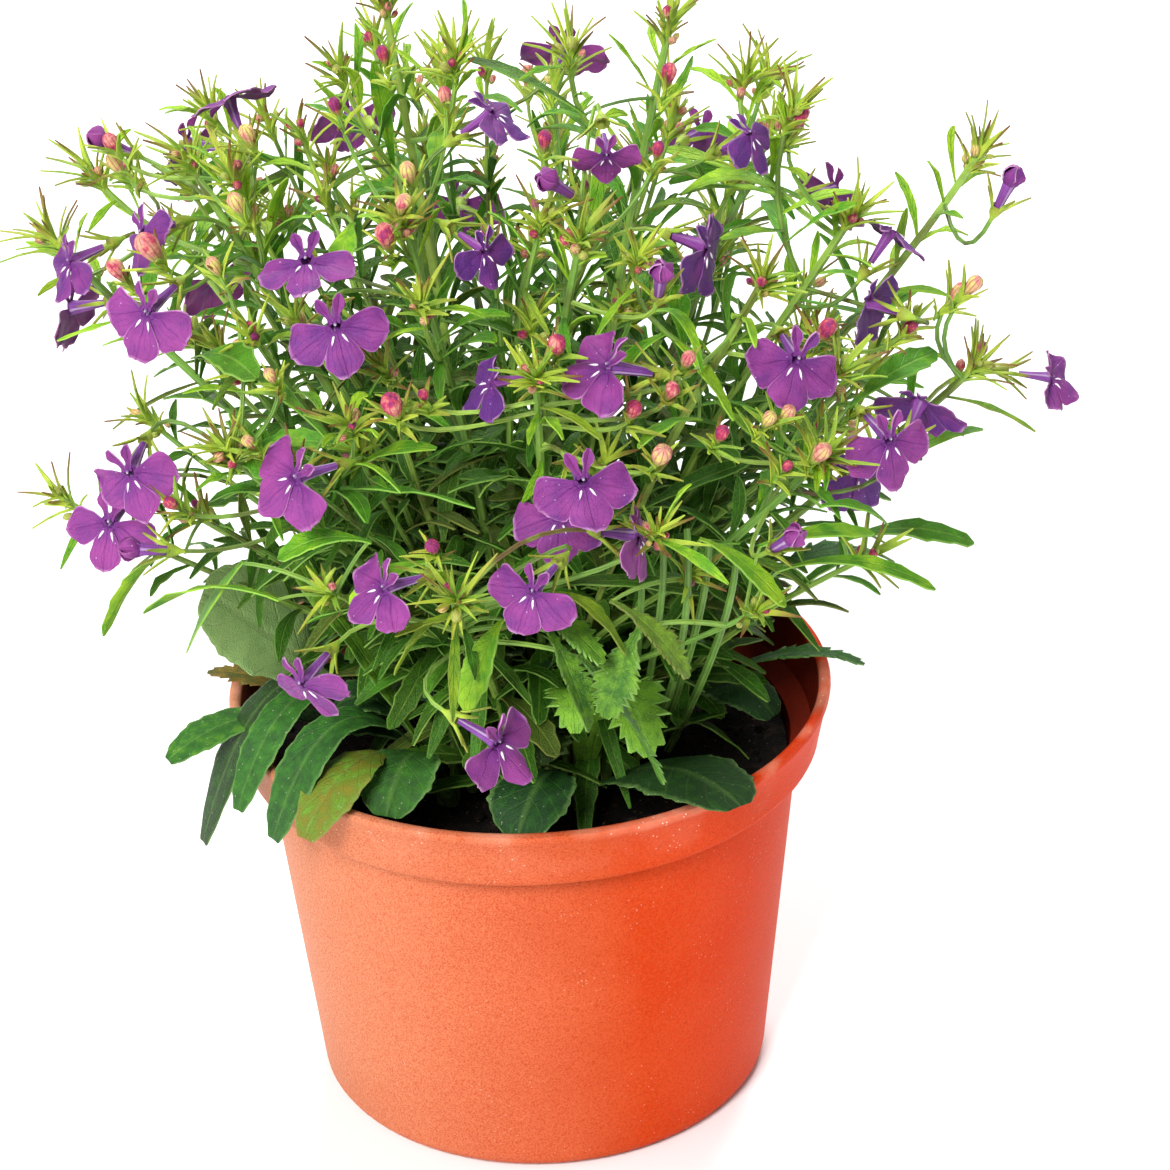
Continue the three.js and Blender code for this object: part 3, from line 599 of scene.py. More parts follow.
def spindle(name, skin, sides, profile, flutes=0, depth=0.0, look=None):
    """An upright round shape with its UV map, its skin and, if it has any, its flutes."""
    obj = raised(name, sides, profile)
    painted(wrap(fluted(obj, flutes, depth) if flutes else obj), skin)
    return obj if look is None else look_at_all(obj, look)


def strip(name, columns, length, widths):
    """A flat blade along +Y: a grid whose rows are drawn in or out to their half-widths."""
    rows = len(widths) - 1
    bpy.ops.object.select_all(action="DESELECT")
    bpy.ops.mesh.primitive_grid_add(x_subdivisions=columns, y_subdivisions=rows, size=2)
    obj = bpy.context.object
    obj.name = name
    with editing(obj):
        bpy.ops.mesh.select_all(action="SELECT")
        bpy.ops.transform.resize(value=(1, length / 2, 1), center_override=(0, 0, 0))
        bpy.ops.transform.translate(value=(0, length / 2, 0))
        step = length / rows
        for row, width in enumerate(widths):
            choose(lambda co: abs(co.y - row * step) < step / 2)
            bpy.ops.transform.resize(value=(width, 1, 1), center_override=(0, row * step, 0))
    return obj


def placed(name, data):
    made = bpy.data.objects.new(name, data)
    bpy.context.scene.collection.objects.link(made)
    return made


def copied(shape, place, look=None, scale=MM):
    """A copy of a modelled shape with its own mesh, its corners put in place. A look is three numbers, or a
    function of the shape's own look."""
    mesh = shape.data.copy()
    mesh.vertices.foreach_set("co", (place(corners(mesh)) * scale).astype(np.float32).ravel())
    copy = placed(shape.name, mesh)
    if callable(look):
        look = look(numbers_of(mesh.attributes["look"].data, "vector", len(mesh.vertices)))
    return copy if look is None else look_at_all(copy, look)


def joined(name, copies):
    """One object of many, with its faces turned outwards."""
    hold(*copies)
    if len(copies) > 1:
        bpy.ops.object.join()
    obj = bpy.context.object
    obj.name = obj.data.name = name
    with editing(obj):
        bpy.ops.mesh.select_all(action="SELECT")
        bpy.ops.mesh.normals_make_consistent(inside=False)
    bpy.ops.object.shade_smooth_by_angle(angle=math.radians(50))
    return obj


def rides(obj, node):
    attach(obj, "root")
    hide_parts(node)


# ---------------------------------------------------------------- placing


def frames_on(curve, side, t):
    """Places along a curve, with its tangents there and the directions across it nearest to `side`."""
    tangent = curve.tangent(t)
    across = side - tangent * (tangent @ side)[:, None]
    return curve.at(t), tangent, across / norm(across, axis=1, keepdims=True)


def on_curve(curve, side, wide=1.0, twist=0.0, curl=0.0, ruffle=0.0, phase=0.0, length=10.0):
    """Lays a shape that was made along +Y onto a curve, face up. It may twist, and its edges may curl and
    ruffle."""

    def place(co):
        t = np.clip(co[:, 1] / length, 0, 1)
        at, tangent, across = frames_on(curve, side, t)
        normal = np.cross(across, tangent)
        a = np.radians(twist * t)[:, None]
        across, normal = across * np.cos(a) + normal * np.sin(a), normal * np.cos(a) - across * np.sin(a)
        x, waves = co[:, 0], np.sin(15 * t + 1.3 * np.sign(co[:, 0]) + phase)
        z = co[:, 2] + (curl * wide * wide + ruffle * waves) * x * x
        return at + across * (x * wide)[:, None] + normal * z[:, None]

    return place


def along_stem(curve, side, foot, tip, length=10.0):
    """Lays an upright shape of unit radius onto a stem's curve, tapering it."""

    def place(co):
        t = np.clip(co[:, 2] / length, 0, 1)
        at, tangent, across = frames_on(curve, side, t)
        radius = (foot + (tip - foot) * t)[:, None]
        return at + (across * co[:, 0:1] + np.cross(tangent, across) * co[:, 1:2]) * radius

    return place


def square_to(axis, turn, start=(0.31, 0.83, 0.17)):
    """A direction square to an axis, turned about it from one that is the same for every axis alike."""
    return turned_about(unit(np.cross(axis, start)), axis, turn)


def standing(place, out, size=1.0, spin=0.0, long=1.0):
    """Stands an upright shape on a point, with its +Z along `out`."""
    first = square_to(out, spin)
    second = np.cross(out, first)
    return lambda co: place + (first * co[:, 0:1] + second * co[:, 1:2]) * size + out * co[:, 2:3] * long


def facing(flower, size, curls, ears, wave):
    """Turns a flower, made facing +Z with its top towards +Y, to where it grows. Its lower lip is bent
    forward, each of its lobes curls by an amount of its own, and its edge is wavy."""

    def move(co):
        x, y, z = co.T * size
        reach, angle = np.hypot(x, y), np.degrees(np.arctan2(y, x)) % 360
        spread = np.clip((reach - 1.8) / 7.7, 0, 1) ** 2
        turn = np.radians(angle)
        ragged = 1 + spread * (0.035 * np.sin(7 * turn + wave) + 0.015 * np.sin(15 * turn + 2.3 * wave))
        x, y, z = x * ragged, y * ragged, z + 0.45 * spread * np.sin(9 * turn + 1.7 * wave)
        for middle, curl in zip((*LOWER, 68, 112), (*curls, *ears)):
            z = z + curl * np.clip(1 - np.abs(angle - middle) / 40, 0, 1) * spread
        lip = (z > -0.6) | (reach > 1.9)
        fold = flower["bend"] * np.clip((-y - 0.5) / 1.2, 0, 1) * lip
        y, z = y * np.cos(fold) + z * np.sin(fold), z * np.cos(fold) - y * np.sin(fold)
        on_plane = flower["place"] + np.outer(x, flower["across"]) + np.outer(y, flower["up"])
        return on_plane + np.outer(z, flower["out"])

    return move


# ---------------------------------------------------------------- shapes that repeat, modelled in millimetres

LEAF_LONG = 10.0
LOWER_LOBE = [0.75, 1.3, 1.95, 2.65, 3.3, 3.9, 4.3, 4.45, 4.2, 3.4, 1.9]
UPPER_LOBE = [0.7, 0.5, 0.5, 0.72, 1.05, 1.0, 0.3]
LOWER_LONG, UPPER_LONG, FOLD_LONG = 8.5, 4.7, 5.4
CALYX_LOOK, SEPAL_LOOK = (0.3, 0.25, 0), (0.25, 0.45, 0)


def leaf_shape(name, skin, columns, widths, teeth=(), forward=0.3, keel=0.3, pucker=0.0, rounded=0):
    """A leaf: rows drawn to their half-widths, teeth drawn forward, a fold along its midrib."""
    leaf = strip(name, columns, LEAF_LONG, widths)
    step = LEAF_LONG / (len(widths) - 1)
    with editing(leaf):
        choose(lambda co: round(co.y / step) in teeth and abs(co.x) > 0.96 * widths[round(co.y / step)])
        bpy.ops.transform.translate(value=(0, forward, 0))

    def fold(co):
        x, y = np.abs(co[:, 0]), co[:, 1]
        ridge = pucker * np.sin(4.2 * (y + 1.1 * x)) * np.clip(x / 0.4, 0, 1)
        return np.c_[co[:, :2], co[:, 2] + ridge + keel * x**1.4]

    finished(reshaped(leaf, fold), "SOLIDIFY", thickness=0.3, offset=-1)
    for _ in range(rounded):
        finished(leaf, "SUBSURF", levels=1, render_levels=1)
    return painted(merged(leaf), skin)


def basal_leaf(name, skin, outline, bite, forward, rows=34, rounded=1):
    """A leaf with a stalk and, from where its blade begins, a tooth in every second row, no two alike."""
    begins = next(share for share, width in outline if width > 0.3)
    widths = []
    for row in range(rows + 1):
        t = row / rows
        wide = (width_at(outline, max(0, t - 0.02)) + width_at(outline, min(1, t + 0.02))) / 2
        uneven = 1 + 0.5 * math.sin(2.4 * row)
        widths.append(max(0.07, wide * (1 - bite * uneven * (row % 2) * (begins < t < 0.97))))
    teeth = [row for row in range(0, rows - 1, 2) if row / rows > begins]
    return leaf_shape(name, skin, 6, widths, teeth, forward, keel=0.35, pucker=0.12, rounded=rounded)


def calyx(bract, skin):
    """A ribbed green cup with five thin sepals that lean out."""
    cup = [[0.3, -0.3], [0.55, 0.5], [1.15, 1.6], [1.5, 2.7], [1.58, 3.2], [1.1, 3.1], [0.5, 2.2]]
    pieces = [spindle("calyx", skin, 10, cup, 5, 0.14, CALYX_LOOK)]
    sepals, ring, height, long, lean, wide = 5, 1.35, 2.9, 5.6, 38, 0.42
    for i in range(sepals):
        out = heading(360 / sepals * (i + 0.5))
        foot = out * ring + UP * height
        aim = UP * cos(lean) + out * sin(lean)
        curve = Curve(foot, foot + (UP * 0.6 + out * 0.4) * long * 0.45, foot + aim * long)
        pieces.append(copied(bract, on_curve(curve, np.cross(out, UP), wide), SEPAL_LOOK, 1))
    return joined("calyx", pieces)


def closed_bud(skin):
    """A club-shaped bud with five folds, its tip drawn to one side."""
    rings = [[0.45, -1.6], [0.8, 0.2], [1.0, 1.6], [1.25, 3.0], [1.68, 4.4], [1.6, 5.4], [1.1, 6.2],
             [0.3, 6.6]]
    bud = fluted(raised("bud", 10, rings), 5, 0.12)
    with editing(bud):
        choose(lambda co: co.z > 5.0)
        bpy.ops.transform.translate(value=(0.35, 0, 0))
    return painted(wrap(merged(bud)), skin)


def opening_bud(tube_skin, petal_skin):
    """A striped tube topped by petals that are still folded together."""
    rings = [[0.8, -2.0], [0.9, 0.5], [1.1, 3.0], [1.35, 5.0], [1.2, 5.2]]
    pieces = [spindle("tube", tube_skin, 10, rings, look=(0.2, 0, 0))]
    fold = painted(strip("fold", 4, FOLD_LONG, [0.7, 1.2, 1.7, 1.9, 1.6, 1.0, 0.2]), petal_skin)
    finished(fold, "SOLIDIFY", thickness=0.25, offset=0)
    for i in range(5):
        out = heading(72 * i)
        foot = out * 0.7 + UP * 4.4
        curve = Curve(foot, foot + out * 2.6 + UP * 2.4, UP * 8.6 + out * 0.25)
        side = turned_about(np.cross(UP, out), out, 12)
        place = on_curve(curve, side, 0.9, twist=24, curl=-0.27, length=FOLD_LONG)
        pieces.append(copied(fold, place, (0.25, 0, 0), 1))
    removed(fold)
    return joined("opening_bud", pieces)


def lobe(shape, middle, length, cup, thin, skin):
    """One lobe of a flower: a flat blade laid out from the throat, cupped, waved and notched at its tip."""
    way, side = heading(middle + 90), heading(middle)

    def spread(co):
        x, y, z = co.T
        height = z - 1.2 * (y / length) ** 2 - cup * x * x + 0.12 * np.sin(1.7 * y + 0.8 * x + middle)
        rib = 0.2 * np.exp(-9 * x * x) * (y > 1.5)
        height += 0.4 * np.exp(-y / 1.2) + (0.3 if middle == 270 else 0) - rib
        tip = np.clip((y - 0.55 * length) / (0.45 * length), 0, 1)
        reach = y + 0.9 + 0.45 * tip * (1 - np.clip(np.abs(x) / 2.3, 0, 1.5) ** 2)
        x = x * (1 - thin * np.clip((y - 1.5) / 3, 0, 1))
        return np.outer(reach, way) + np.outer(x, side) + np.outer(height, UP)

    made = painted(copied(shape, spread, (0.2, 0, 0), 1), skin)
    return finished(made, "SOLIDIFY", thickness=0.26, offset=-1)


def flower(tube_skin, petal_skin, white, stamen, slender):
    """An open flower facing +Z: three broad lobes below, two narrow ones above, on a fluted tube. `slender`
    says how much each lower lobe is narrowed, so that gaps open between them."""
    lower = strip("lower_lobe", 8, LOWER_LONG, LOWER_LOBE)
    upper = strip("upper_lobe", 2, UPPER_LONG, UPPER_LOBE)
    with editing(lower):
        choose(lambda co: co.y > LOWER_LONG - 0.1 and abs(co.x) < 0.3)
        bpy.ops.transform.translate(value=(0, 0.25, 0))
    pieces = [lobe(lower, at, LOWER_LONG, 0.035, thin, petal_skin) for at, thin in zip(LOWER, slender)]
    pieces += [lobe(upper, at, UPPER_LONG, -0.45, 0, petal_skin) for at in UPPER]
    tube = [[0.75, -8.0], [0.85, -6.5], [1.05, -4.0], [1.3, -1.6], [1.75, 0.0], [1.95, 0.3], [1.3, 0.1],
            [1.0, -1.2], [0.6, -3.2]]
    pieces.append(spindle("flower_tube", tube_skin, 12, tube, 6, 0.1, (0, 0, 0)))
    streak = spindle("white_streak", white, 6, [[0.1, 0], [0.17, 0.5], [0.24, 1.2], [0.2, 1.9], [0.04, 2.7]])
    for angle in (246, 294):
        way, side = heading(angle + 90), heading(angle)

        def lay(co):
            return np.outer(co[:, 2] + 1.3, way) + np.outer(co[:, 0], side) + np.outer(0.42 + co[:, 1], UP)

        pieces.append(copied(streak, lay, (0, 0, 0), 1))
    removed(lower, upper, streak)
    rings = [[0.34, -1.5], [0.36, -0.4], [0.4, 0.2], [0.38, 0.6], [0.28, 0.9], [0.1, 1.05]]
    column = raised("stamens", 8, rings)

    def nod(co):
        return np.c_[co[:, 0], co[:, 1] + 0.8 - 0.2 * np.clip(co[:, 2], 0, 3) ** 2, co[:, 2]]

    reshaped(column, nod)
    pieces.append(look_at_all(painted(wrap(column), stamen), (0, 0, 0)))
    return joined("flower", pieces)


# ---------------------------------------------------------------- what grows between the part's own pieces

draw_more = np.random.default_rng(4321)
some, pick = draw_more.uniform, draw_more.choice
VIEW_RISE, VIEW_ROLL = 28.6, -0.036
TOWARDS_VIEW = heading(0, VIEW_RISE)
BOX_EDGE = 0.4  # kept clear inside the part's box, in mm
LOW_CORNER = np.array(cad_box[0]) / MM + BOX_EDGE
HIGH_CORNER = np.array(cad_box[1]) / MM - BOX_EDGE

# Single small buds where stems are thin: [bearing, rise, share, how red, size].
TWIGS = [
    [67, 29, 1.0, 0.8, 0.8], [49, 34, 1.0, 0.7, 1.0], [17, 32, 1.0, 0.7, 0.9], [19, 27, 1.02, 0.3, 1.1],
    [35, 28, 1.0, 0.1, 0.8], [38, 28, 1.0, 0.2, 0.8], [28, 28, 1.0, 0.8, 0.8], [40, 23, 1.02, 0.3, 1.0],
    [36, 23, 1.0, 0.9, 0.6], [76, 53, 1.02, 0.6, 1.1], [38, 59, 1.0, 0.9, 0.7], [-13, 33, 1.04, 0.75, 1.2],
    [-10, 35, 1.0, 0.9, 0.6], [-19, 51, 1.0, 0.6, 1.1], [-62, 42, 1.02, 0.5, 1.3], [-68, 38, 1.02, 0.4, 1.0],
    [-52, 51, 1.0, 0.1, 0.9], [-64, 58, 1.0, 0.1, 0.9], [-48, 66, 1.0, 1.0, 0.7], [-54, 75, 1.0, 1.0, 0.7],
    [-18, 59, 1.0, 0.1, 0.9], [-15, 70, 1.0, 0.6, 0.8], [-49, 44, 1.0, 0.1, 0.8], [-32, 35, 1.0, 0.2, 0.7],
    [-8, 20, 1.03, 0.9, 0.8], [-37, 26, 1.0, 0.9, 0.6], [-33, 28, 1.0, 0.2, 0.7], [8, 39, 1.02, 0.8, 1.0],
    [76, 28, 1.06, 0.4, 1.0], [72, 29, 1.12, 0.3, 0.9], [-88, 44, 1.06, 0.2, 0.9], [-84, 46, 1.1, 0.8, 0.9],
    [12, 62, 1.02, 0.9, 0.8], [56, 66, 1.02, 0.8, 0.9], [26, 36, 1.0, 0.5, 0.8], [-42, 20, 1.02, 0.8, 0.7],
]
# Single leaves: [bearing, rise, share] of their foot, the same of their tip, and their width, age and painted
# shade, and arch.
SINGLE_LEAVES = [
    [52, 26, 0.96, 75, 24, 1.0, 5.2, 0.55, 3], [41, 18, 0.98, 48, 14, 1.04, 4.6, 0.5, 4],
    [32, 16, 0.96, 48, 13, 1.0, 4.2, 0.35, 3], [36, 12, 0.92, 52, 6, 1.08, 3.2, 0.35, 8],
    [-43, 15, 0.96, -56, 2, 1.0, 3.6, 0.3, 10], [-56, 35, 0.9, -36, 35, 0.98, 6.5, 0.6, 5],
    [-37, 58, 0.92, -31, 49, 0.96, 5.0, 0.25, 3], [-30, 12, 0.92, -46, 8, 1.02, 3.4, 0.3, 8],
    [-22, 30, 0.8, -36, 28, 0.92, 6.0, 0.5, 5], [20, 50, 0.9, 33, 49, 0.98, 4.6, 0.3, 4],
    [58, 8, 0.8, 74, 2, 1.0, 5.0, 0.7, 6], [-6, 12, 0.86, -14, 6, 0.95, 4.2, 0.2, 7],
    [6, 14, 0.86, 14, 7, 0.93, 4.6, 0.2, 7], [64, 14, 0.85, 82, 12, 1.02, 4.6, 0.45, 5],
    [5, 10, 0.88, 9, -1, 0.95, 8.5, 0.3, 4], [9, 6, 0.86, 18, -9, 0.95, 9.5, 0.36, 5],
    [1, 14, 0.9, 11, 7, 0.96, 7.6, 0.15, 4], [17, 9, 0.88, 11, 0, 0.94, 8.0, 0.3, 4],
    [13, 13, 0.9, 21, 4, 0.97, 7.2, 0.12, 4], [-1, 11, 0.88, -6, 1, 0.95, 5.5, 0.3, 4],
    [26, 18, 0.9, 34, 9, 0.98, 4.6, 0.3, 4], [-11, 18, 0.9, -20, 13, 0.97, 5.0, 0.2, 4],
    [-18, 20, 0.9, -29, 17, 0.96, 4.6, 0.35, 5], [-37, 15, 0.9, -42, 4, 0.97, 6.2, 0.4, 3],
    [-26, 31, 0.9, -44, 36, 0.96, 4.8, 0.45, 4], [30, 31, 0.9, 18, 29, 0.96, 4.4, 0.3, 4],
    [-44, 30, 0.9, -33, 25, 0.95, 4.6, 0.5, 4], [41, 72, 0.92, -17, 81, 0.98, 2.8, 0.8, 3],
]
# Stems without leaves where the plant is open: the foot's bearing and reach, then the bearing, rise and share
# of the middle and of the tip.
BARE_STEMS = [
    [95, 24, 29, 0, 0.7, 26, 19, 0.85], [88, 25, 32, 2, 0.7, 29, 17, 0.85],
    [84, 27, 36, -2, 0.7, 33, 14, 0.85], [104, 22, 25, 5, 0.7, 22, 18, 0.85],
    [110, 21, 22, 8, 0.7, 19, 21, 0.85],
]


def leaves_flowers_free(points, faces, near=5.6, far=90.0):
    """True where no point touches an open flower or stands in front of its face."""
    points = np.array([p for p, _ in points])
    for place, sight in faces:
        away = points - place
        depth = away @ sight
        aside = norm(away - depth[:, None] * sight, axis=1)
        if ((depth > -1.0) & (depth < far) & (aside < near)).any():
            return False
    return True


def inside_box(points):
    places = np.array([p for p, _ in points])
    return bool((places > LOW_CORNER).all() and (places < HIGH_CORNER).all())


def fits(points, faces, margin=0.3, near=5.6):
    free = inside_box(points) and room.clears_flowers(points, margin)
    return free and leaves_flowers_free(points, faces, near)


def sight_lines(blooms):
    """Each flower's middle, and the way its face must be free: towards the view, or straight out if it faces
    away."""
    lines = []
    for bloom in blooms:
        seen = float(bloom["out"] @ TOWARDS_VIEW) > 0.15
        lines.append((bloom["place"] - bloom["up"] * 1.5, TOWARDS_VIEW if seen else bloom["out"]))
    return lines


def fill_with_leaves(axis, faces, first, last, spacing, most, scale=1.0):
    """More leaves along a stem or shoot, longer and wider low down, each where it leaves the flowers free."""
    grown = []
    count = min(most, int(axis["length"] * (last - first) / spacing))
    start = some(0, 360)
    for i in range(count):
        t = first + (last - first) * (i + some(0.1, 0.9)) / max(1, count)
        low = 1 - t
        long = scale * (8 + 17 * low * some(0.7, 1.15) + some(0, 7))
        width = (1.3 + 3.8 * low * some(0.5, 1.25)) * scale
        open_by, droop = some(24, 80), some(-0.12, 0.55) * (0.4 + low)
        for aside in (0, 40, -40, 85, -85, 130, -130, 180):
            curve, across = leaf_at(axis, t, open_by, start + NEXT_TURN * i + aside, long, droop)
            curl = some(-0.24, 0.24) * long
            curve.points[1] = curve.points[1] + UP * some(0.0, 0.32) * long + across * curl
            if fits(leaf_balls(curve, long, width)[1:], faces):
                grown.append(dict(curve=curve, side=across, width=width))
                break
    return grown


def nearest(stems, place, share=0.6):
    return min(stems, key=lambda stem: norm(stem["curve"].at(share) - place))


def grow_more_stems(stems, faces, count):
    """Thinner stems between the part's own, each grown into the piece of the stem that is nearest to it."""
    grown = []
    for i in range(count):
        for _ in range(14):
            bearing = (i * NEXT_TURN + some(-14, 14)) % 360 - 180
            rise = math.degrees(math.asin(some(0.12, 0.98)))
            share = some(0.72, 0.98)
            foot = heading(bearing) * some(4, 24) + UP * (SOIL_TOP - 2)
            tip, side, aim = on_mound(bearing, rise, share), heading(bearing + 90), tip_aim(bearing, rise)
            curve = stem_curve(foot, tip, side, aim, some(-9, 9), 0, 0.36)
            path = [(curve.at(t), 0.9) for t in np.linspace(0.16, 1, 26)]
            if fits(path, faces, 0.4, near=4.2):
                grown.append(dict(curve=curve, side=side, tip=tip, aim=aim, length=curve.length(),
                                  node=nearest(stems, curve.at(0.6))["node"], foot=some(0.65, 1.05)))
                break
    return grown


def grow_bare_stems(stems):
    grown = []
    for bearing, reach, *places in BARE_STEMS:
        foot = heading(bearing) * reach + UP * (SOIL_TOP - 2)
        middle, tip = on_mound(*places[:3]), on_mound(*places[3:])
        curve = Curve(foot, 2 * middle - (foot + tip) / 2, tip)
        grown.append(dict(node=nearest(stems, middle, 0.4)["node"], curve=curve, side=heading(bearing + 90)))
    return grown


def grow_tongues(count, faces):
    """Broad toothed leaves that rise from the crowns between the stems. The pot's right side is left open."""
    grown = []
    for i in range(count):
        for _ in range(20):
            bearing = i * NEXT_TURN + some(-20, 20)
            reach = some(26, 60)
            foot = heading(bearing + some(-30, 30)) * some(8, 26) + UP * (SOIL_TOP + 1)
            tip = heading(bearing) * reach + UP * (some(92, 132) - 0.15 * reach)
            middle = foot + (tip - foot) * 0.5
            middle[2] = max(tip[2] + some(2, 20), 96)
            curve, width = Curve(foot, middle, tip), some(6, 13)
            points = leaf_balls(curve, curve.length(), width, TOOTHED, 0.35, 0.2, 0.3)
            if not 40 < bearing % 360 < 112 and fits(points, faces):
                grown.append(dict(curve=curve, side=unit(np.cross(tip - foot, UP)), width=width))
                break
    return grown


def nearest_joint(stems, tip):
    """The stem, and the point on it, from which a stalk grows out to `tip`: near, and lower if possible."""
    choices = [(stem, stem["curve"].at(t)) for stem in stems for t in np.linspace(0.35, 0.97, 24)]
    return min(choices, key=lambda c: norm(c[1] - tip) + 2 * max(0, c[1][2] - tip[2] + 4))


def grow_twigs(stems):
    """The small buds' stalks, each from the nearest lower point of a stem."""
    grown = []
    for bearing, rise, share, red, size in TWIGS:
        tip, aim = on_mound(bearing, rise, share), tip_aim(bearing, rise)
        stem, joint = nearest_joint(stems, tip)
        curve = Curve(joint, tip - aim * 0.45 * norm(tip - joint), tip)
        grown.append(dict(node=stem["node"], curve=curve, side=stem["side"], tip=tip, aim=aim, red=red,
                          size=size))
    return grown


def grow_single_leaves(stems):
    """Leaves that stand out among the others, each on a stalk from the nearest stem. A leaf that would meet a
    flower is drawn further in."""
    grown = []
    for *places, width, age, arch in SINGLE_LEAVES:
        for inward in (0, 0.04, 0.08, 0.12, 0.16):
            foot = on_mound(*places[:2], places[2] - inward)
            tip = on_mound(*places[3:5], places[5] - inward)
            curve = Curve(foot, (foot + tip) / 2 + UP * arch, tip)
            if room.clears_flowers(curve.balls(curve.length(), 0.3 * width), 0.2):
                stem, joint = nearest_joint(stems, foot)
                stalk = Curve(joint, joint * 0.4 + foot * 0.6 + UP * 2, foot + 0.5 * unit(tip - foot))
                grown.append(dict(node=stem["node"], curve=curve, width=width, age=age, stalk=stalk,
                                  side=unit(np.cross(tip - foot, UP))))
                break
    return grown


# ---------------------------------------------------------------- materials


class Nodes:
    """A node tree being made, with the few steps that every material here is made of."""

    def __init__(self, tree):
        self.tree = tree

    def add(self, kind, inputs, **settings):
        """Adds a node. A value among its inputs is set, and a socket is joined."""
        node = self.tree.nodes.new("ShaderNode" + kind)
        for key, value in settings.items():
            setattr(node, key, value)
        for key, value in inputs.items():
            if isinstance(value, bpy.types.NodeSocket):
                self.tree.links.new(value, node.inputs[key])
            else:
                node.inputs[key].default_value = value
        return node.outputs

    def calc(self, operation, a, b=0.0, clamp=False):
        return self.add("Math", {0: a, 1: b}, operation=operation, use_clamp=clamp)[0]

    def plus(self, a, b, clamp=False):
        return self.calc("ADD", a, b, clamp)

    def minus(self, a, b):
        return self.calc("SUBTRACT", a, b)

    def times(self, a, *others):
        for b in others:
            a = self.calc("MULTIPLY", a, b)
        return a

    def between(self, value, low, high, out_low=0.0, out_high=1.0):
        """A value from `low` to `high` brought to the range from 0 to 1, or to another."""
        return self.add("MapRange", {0: value, 1: low, 2: high, 3: out_low, 4: out_high}, clamp=True)[0]

    def stripes(self, value, count, low, high):
        """Bands across a value, `count` in all, from 0 between them to 1 on them."""
        return self.between(self.calc("PINGPONG", self.times(value, count), 0.5), low, high)

    def noise(self, vector, size, detail=2.0, roughness=0.5):
        inputs = {"Vector": vector, "Scale": size, "Detail": detail, "Roughness": roughness}
        return self.add("TexNoise", inputs)["Fac"]

    def apart(self, vector):
        return self.add("SeparateXYZ", {0: vector})


def new_group(name, inputs, outputs):
    """An empty shader node group with its sockets: its tree, its nodes, what it is given, where it ends."""
    tree = bpy.data.node_groups.new(name, "ShaderNodeTree")
    for label, kind, value in inputs:
        socket = tree.interface.new_socket(label, in_out="INPUT", socket_type="NodeSocket" + kind)
        if value is not None:
            socket.default_value = value
    for label in outputs:
        tree.interface.new_socket(label, in_out="OUTPUT", socket_type="NodeSocketFloat")
    start, end = tree.nodes.new("NodeGroupInput"), tree.nodes.new("NodeGroupOutput")
    return tree, Nodes(tree), start.outputs, end


def mottle_group():
    """Soft patches and fine grain over a surface, from 0 to 1."""
    sizes = [("Vector", "Vector", None), ("Patches", "Float", 120.0), ("Grain", "Float", 2500.0)]
    tree, made, given, end = new_group("mottle", sizes, ["Patch", "Fine"])
    patch = made.noise(given["Vector"], given["Patches"], 3.0, 0.6)
    fine = made.noise(given["Vector"], given["Grain"], 2.0, 0.55)
    tree.links.new(made.between(patch, 0.32, 0.68), end.inputs["Patch"])
    tree.links.new(made.between(fine, 0.3, 0.7), end.inputs["Fine"])
    return tree


def vein_group():
    """A leaf's midrib and slanting side veins from its UV map, and how near its edge a point is."""
    sizes = [("UV", "Vector", None), ("Count", "Float", 9.0), ("Slant", "Float", 1.6)]
    tree, made, given, end = new_group("leaf_veins", sizes, ["Midrib", "Side veins", "Edge"])
    across, along, _ = made.apart(given["UV"])
    aside = made.times(made.calc("ABSOLUTE", made.minus(across, 0.5)), 2.0)
    slanted = made.minus(made.times(along, given["Count"]), made.times(aside, given["Slant"]))
    tree.links.new(made.between(aside, 0.13, 0.03), end.inputs["Midrib"])
    tree.links.new(made.stripes(slanted, 1.0, 0.09, 0.0), end.inputs["Side veins"])
    tree.links.new(made.between(aside, 0.9, 1.0), end.inputs["Edge"])
    return tree


MOTTLE, VEINS = mottle_group(), vein_group()


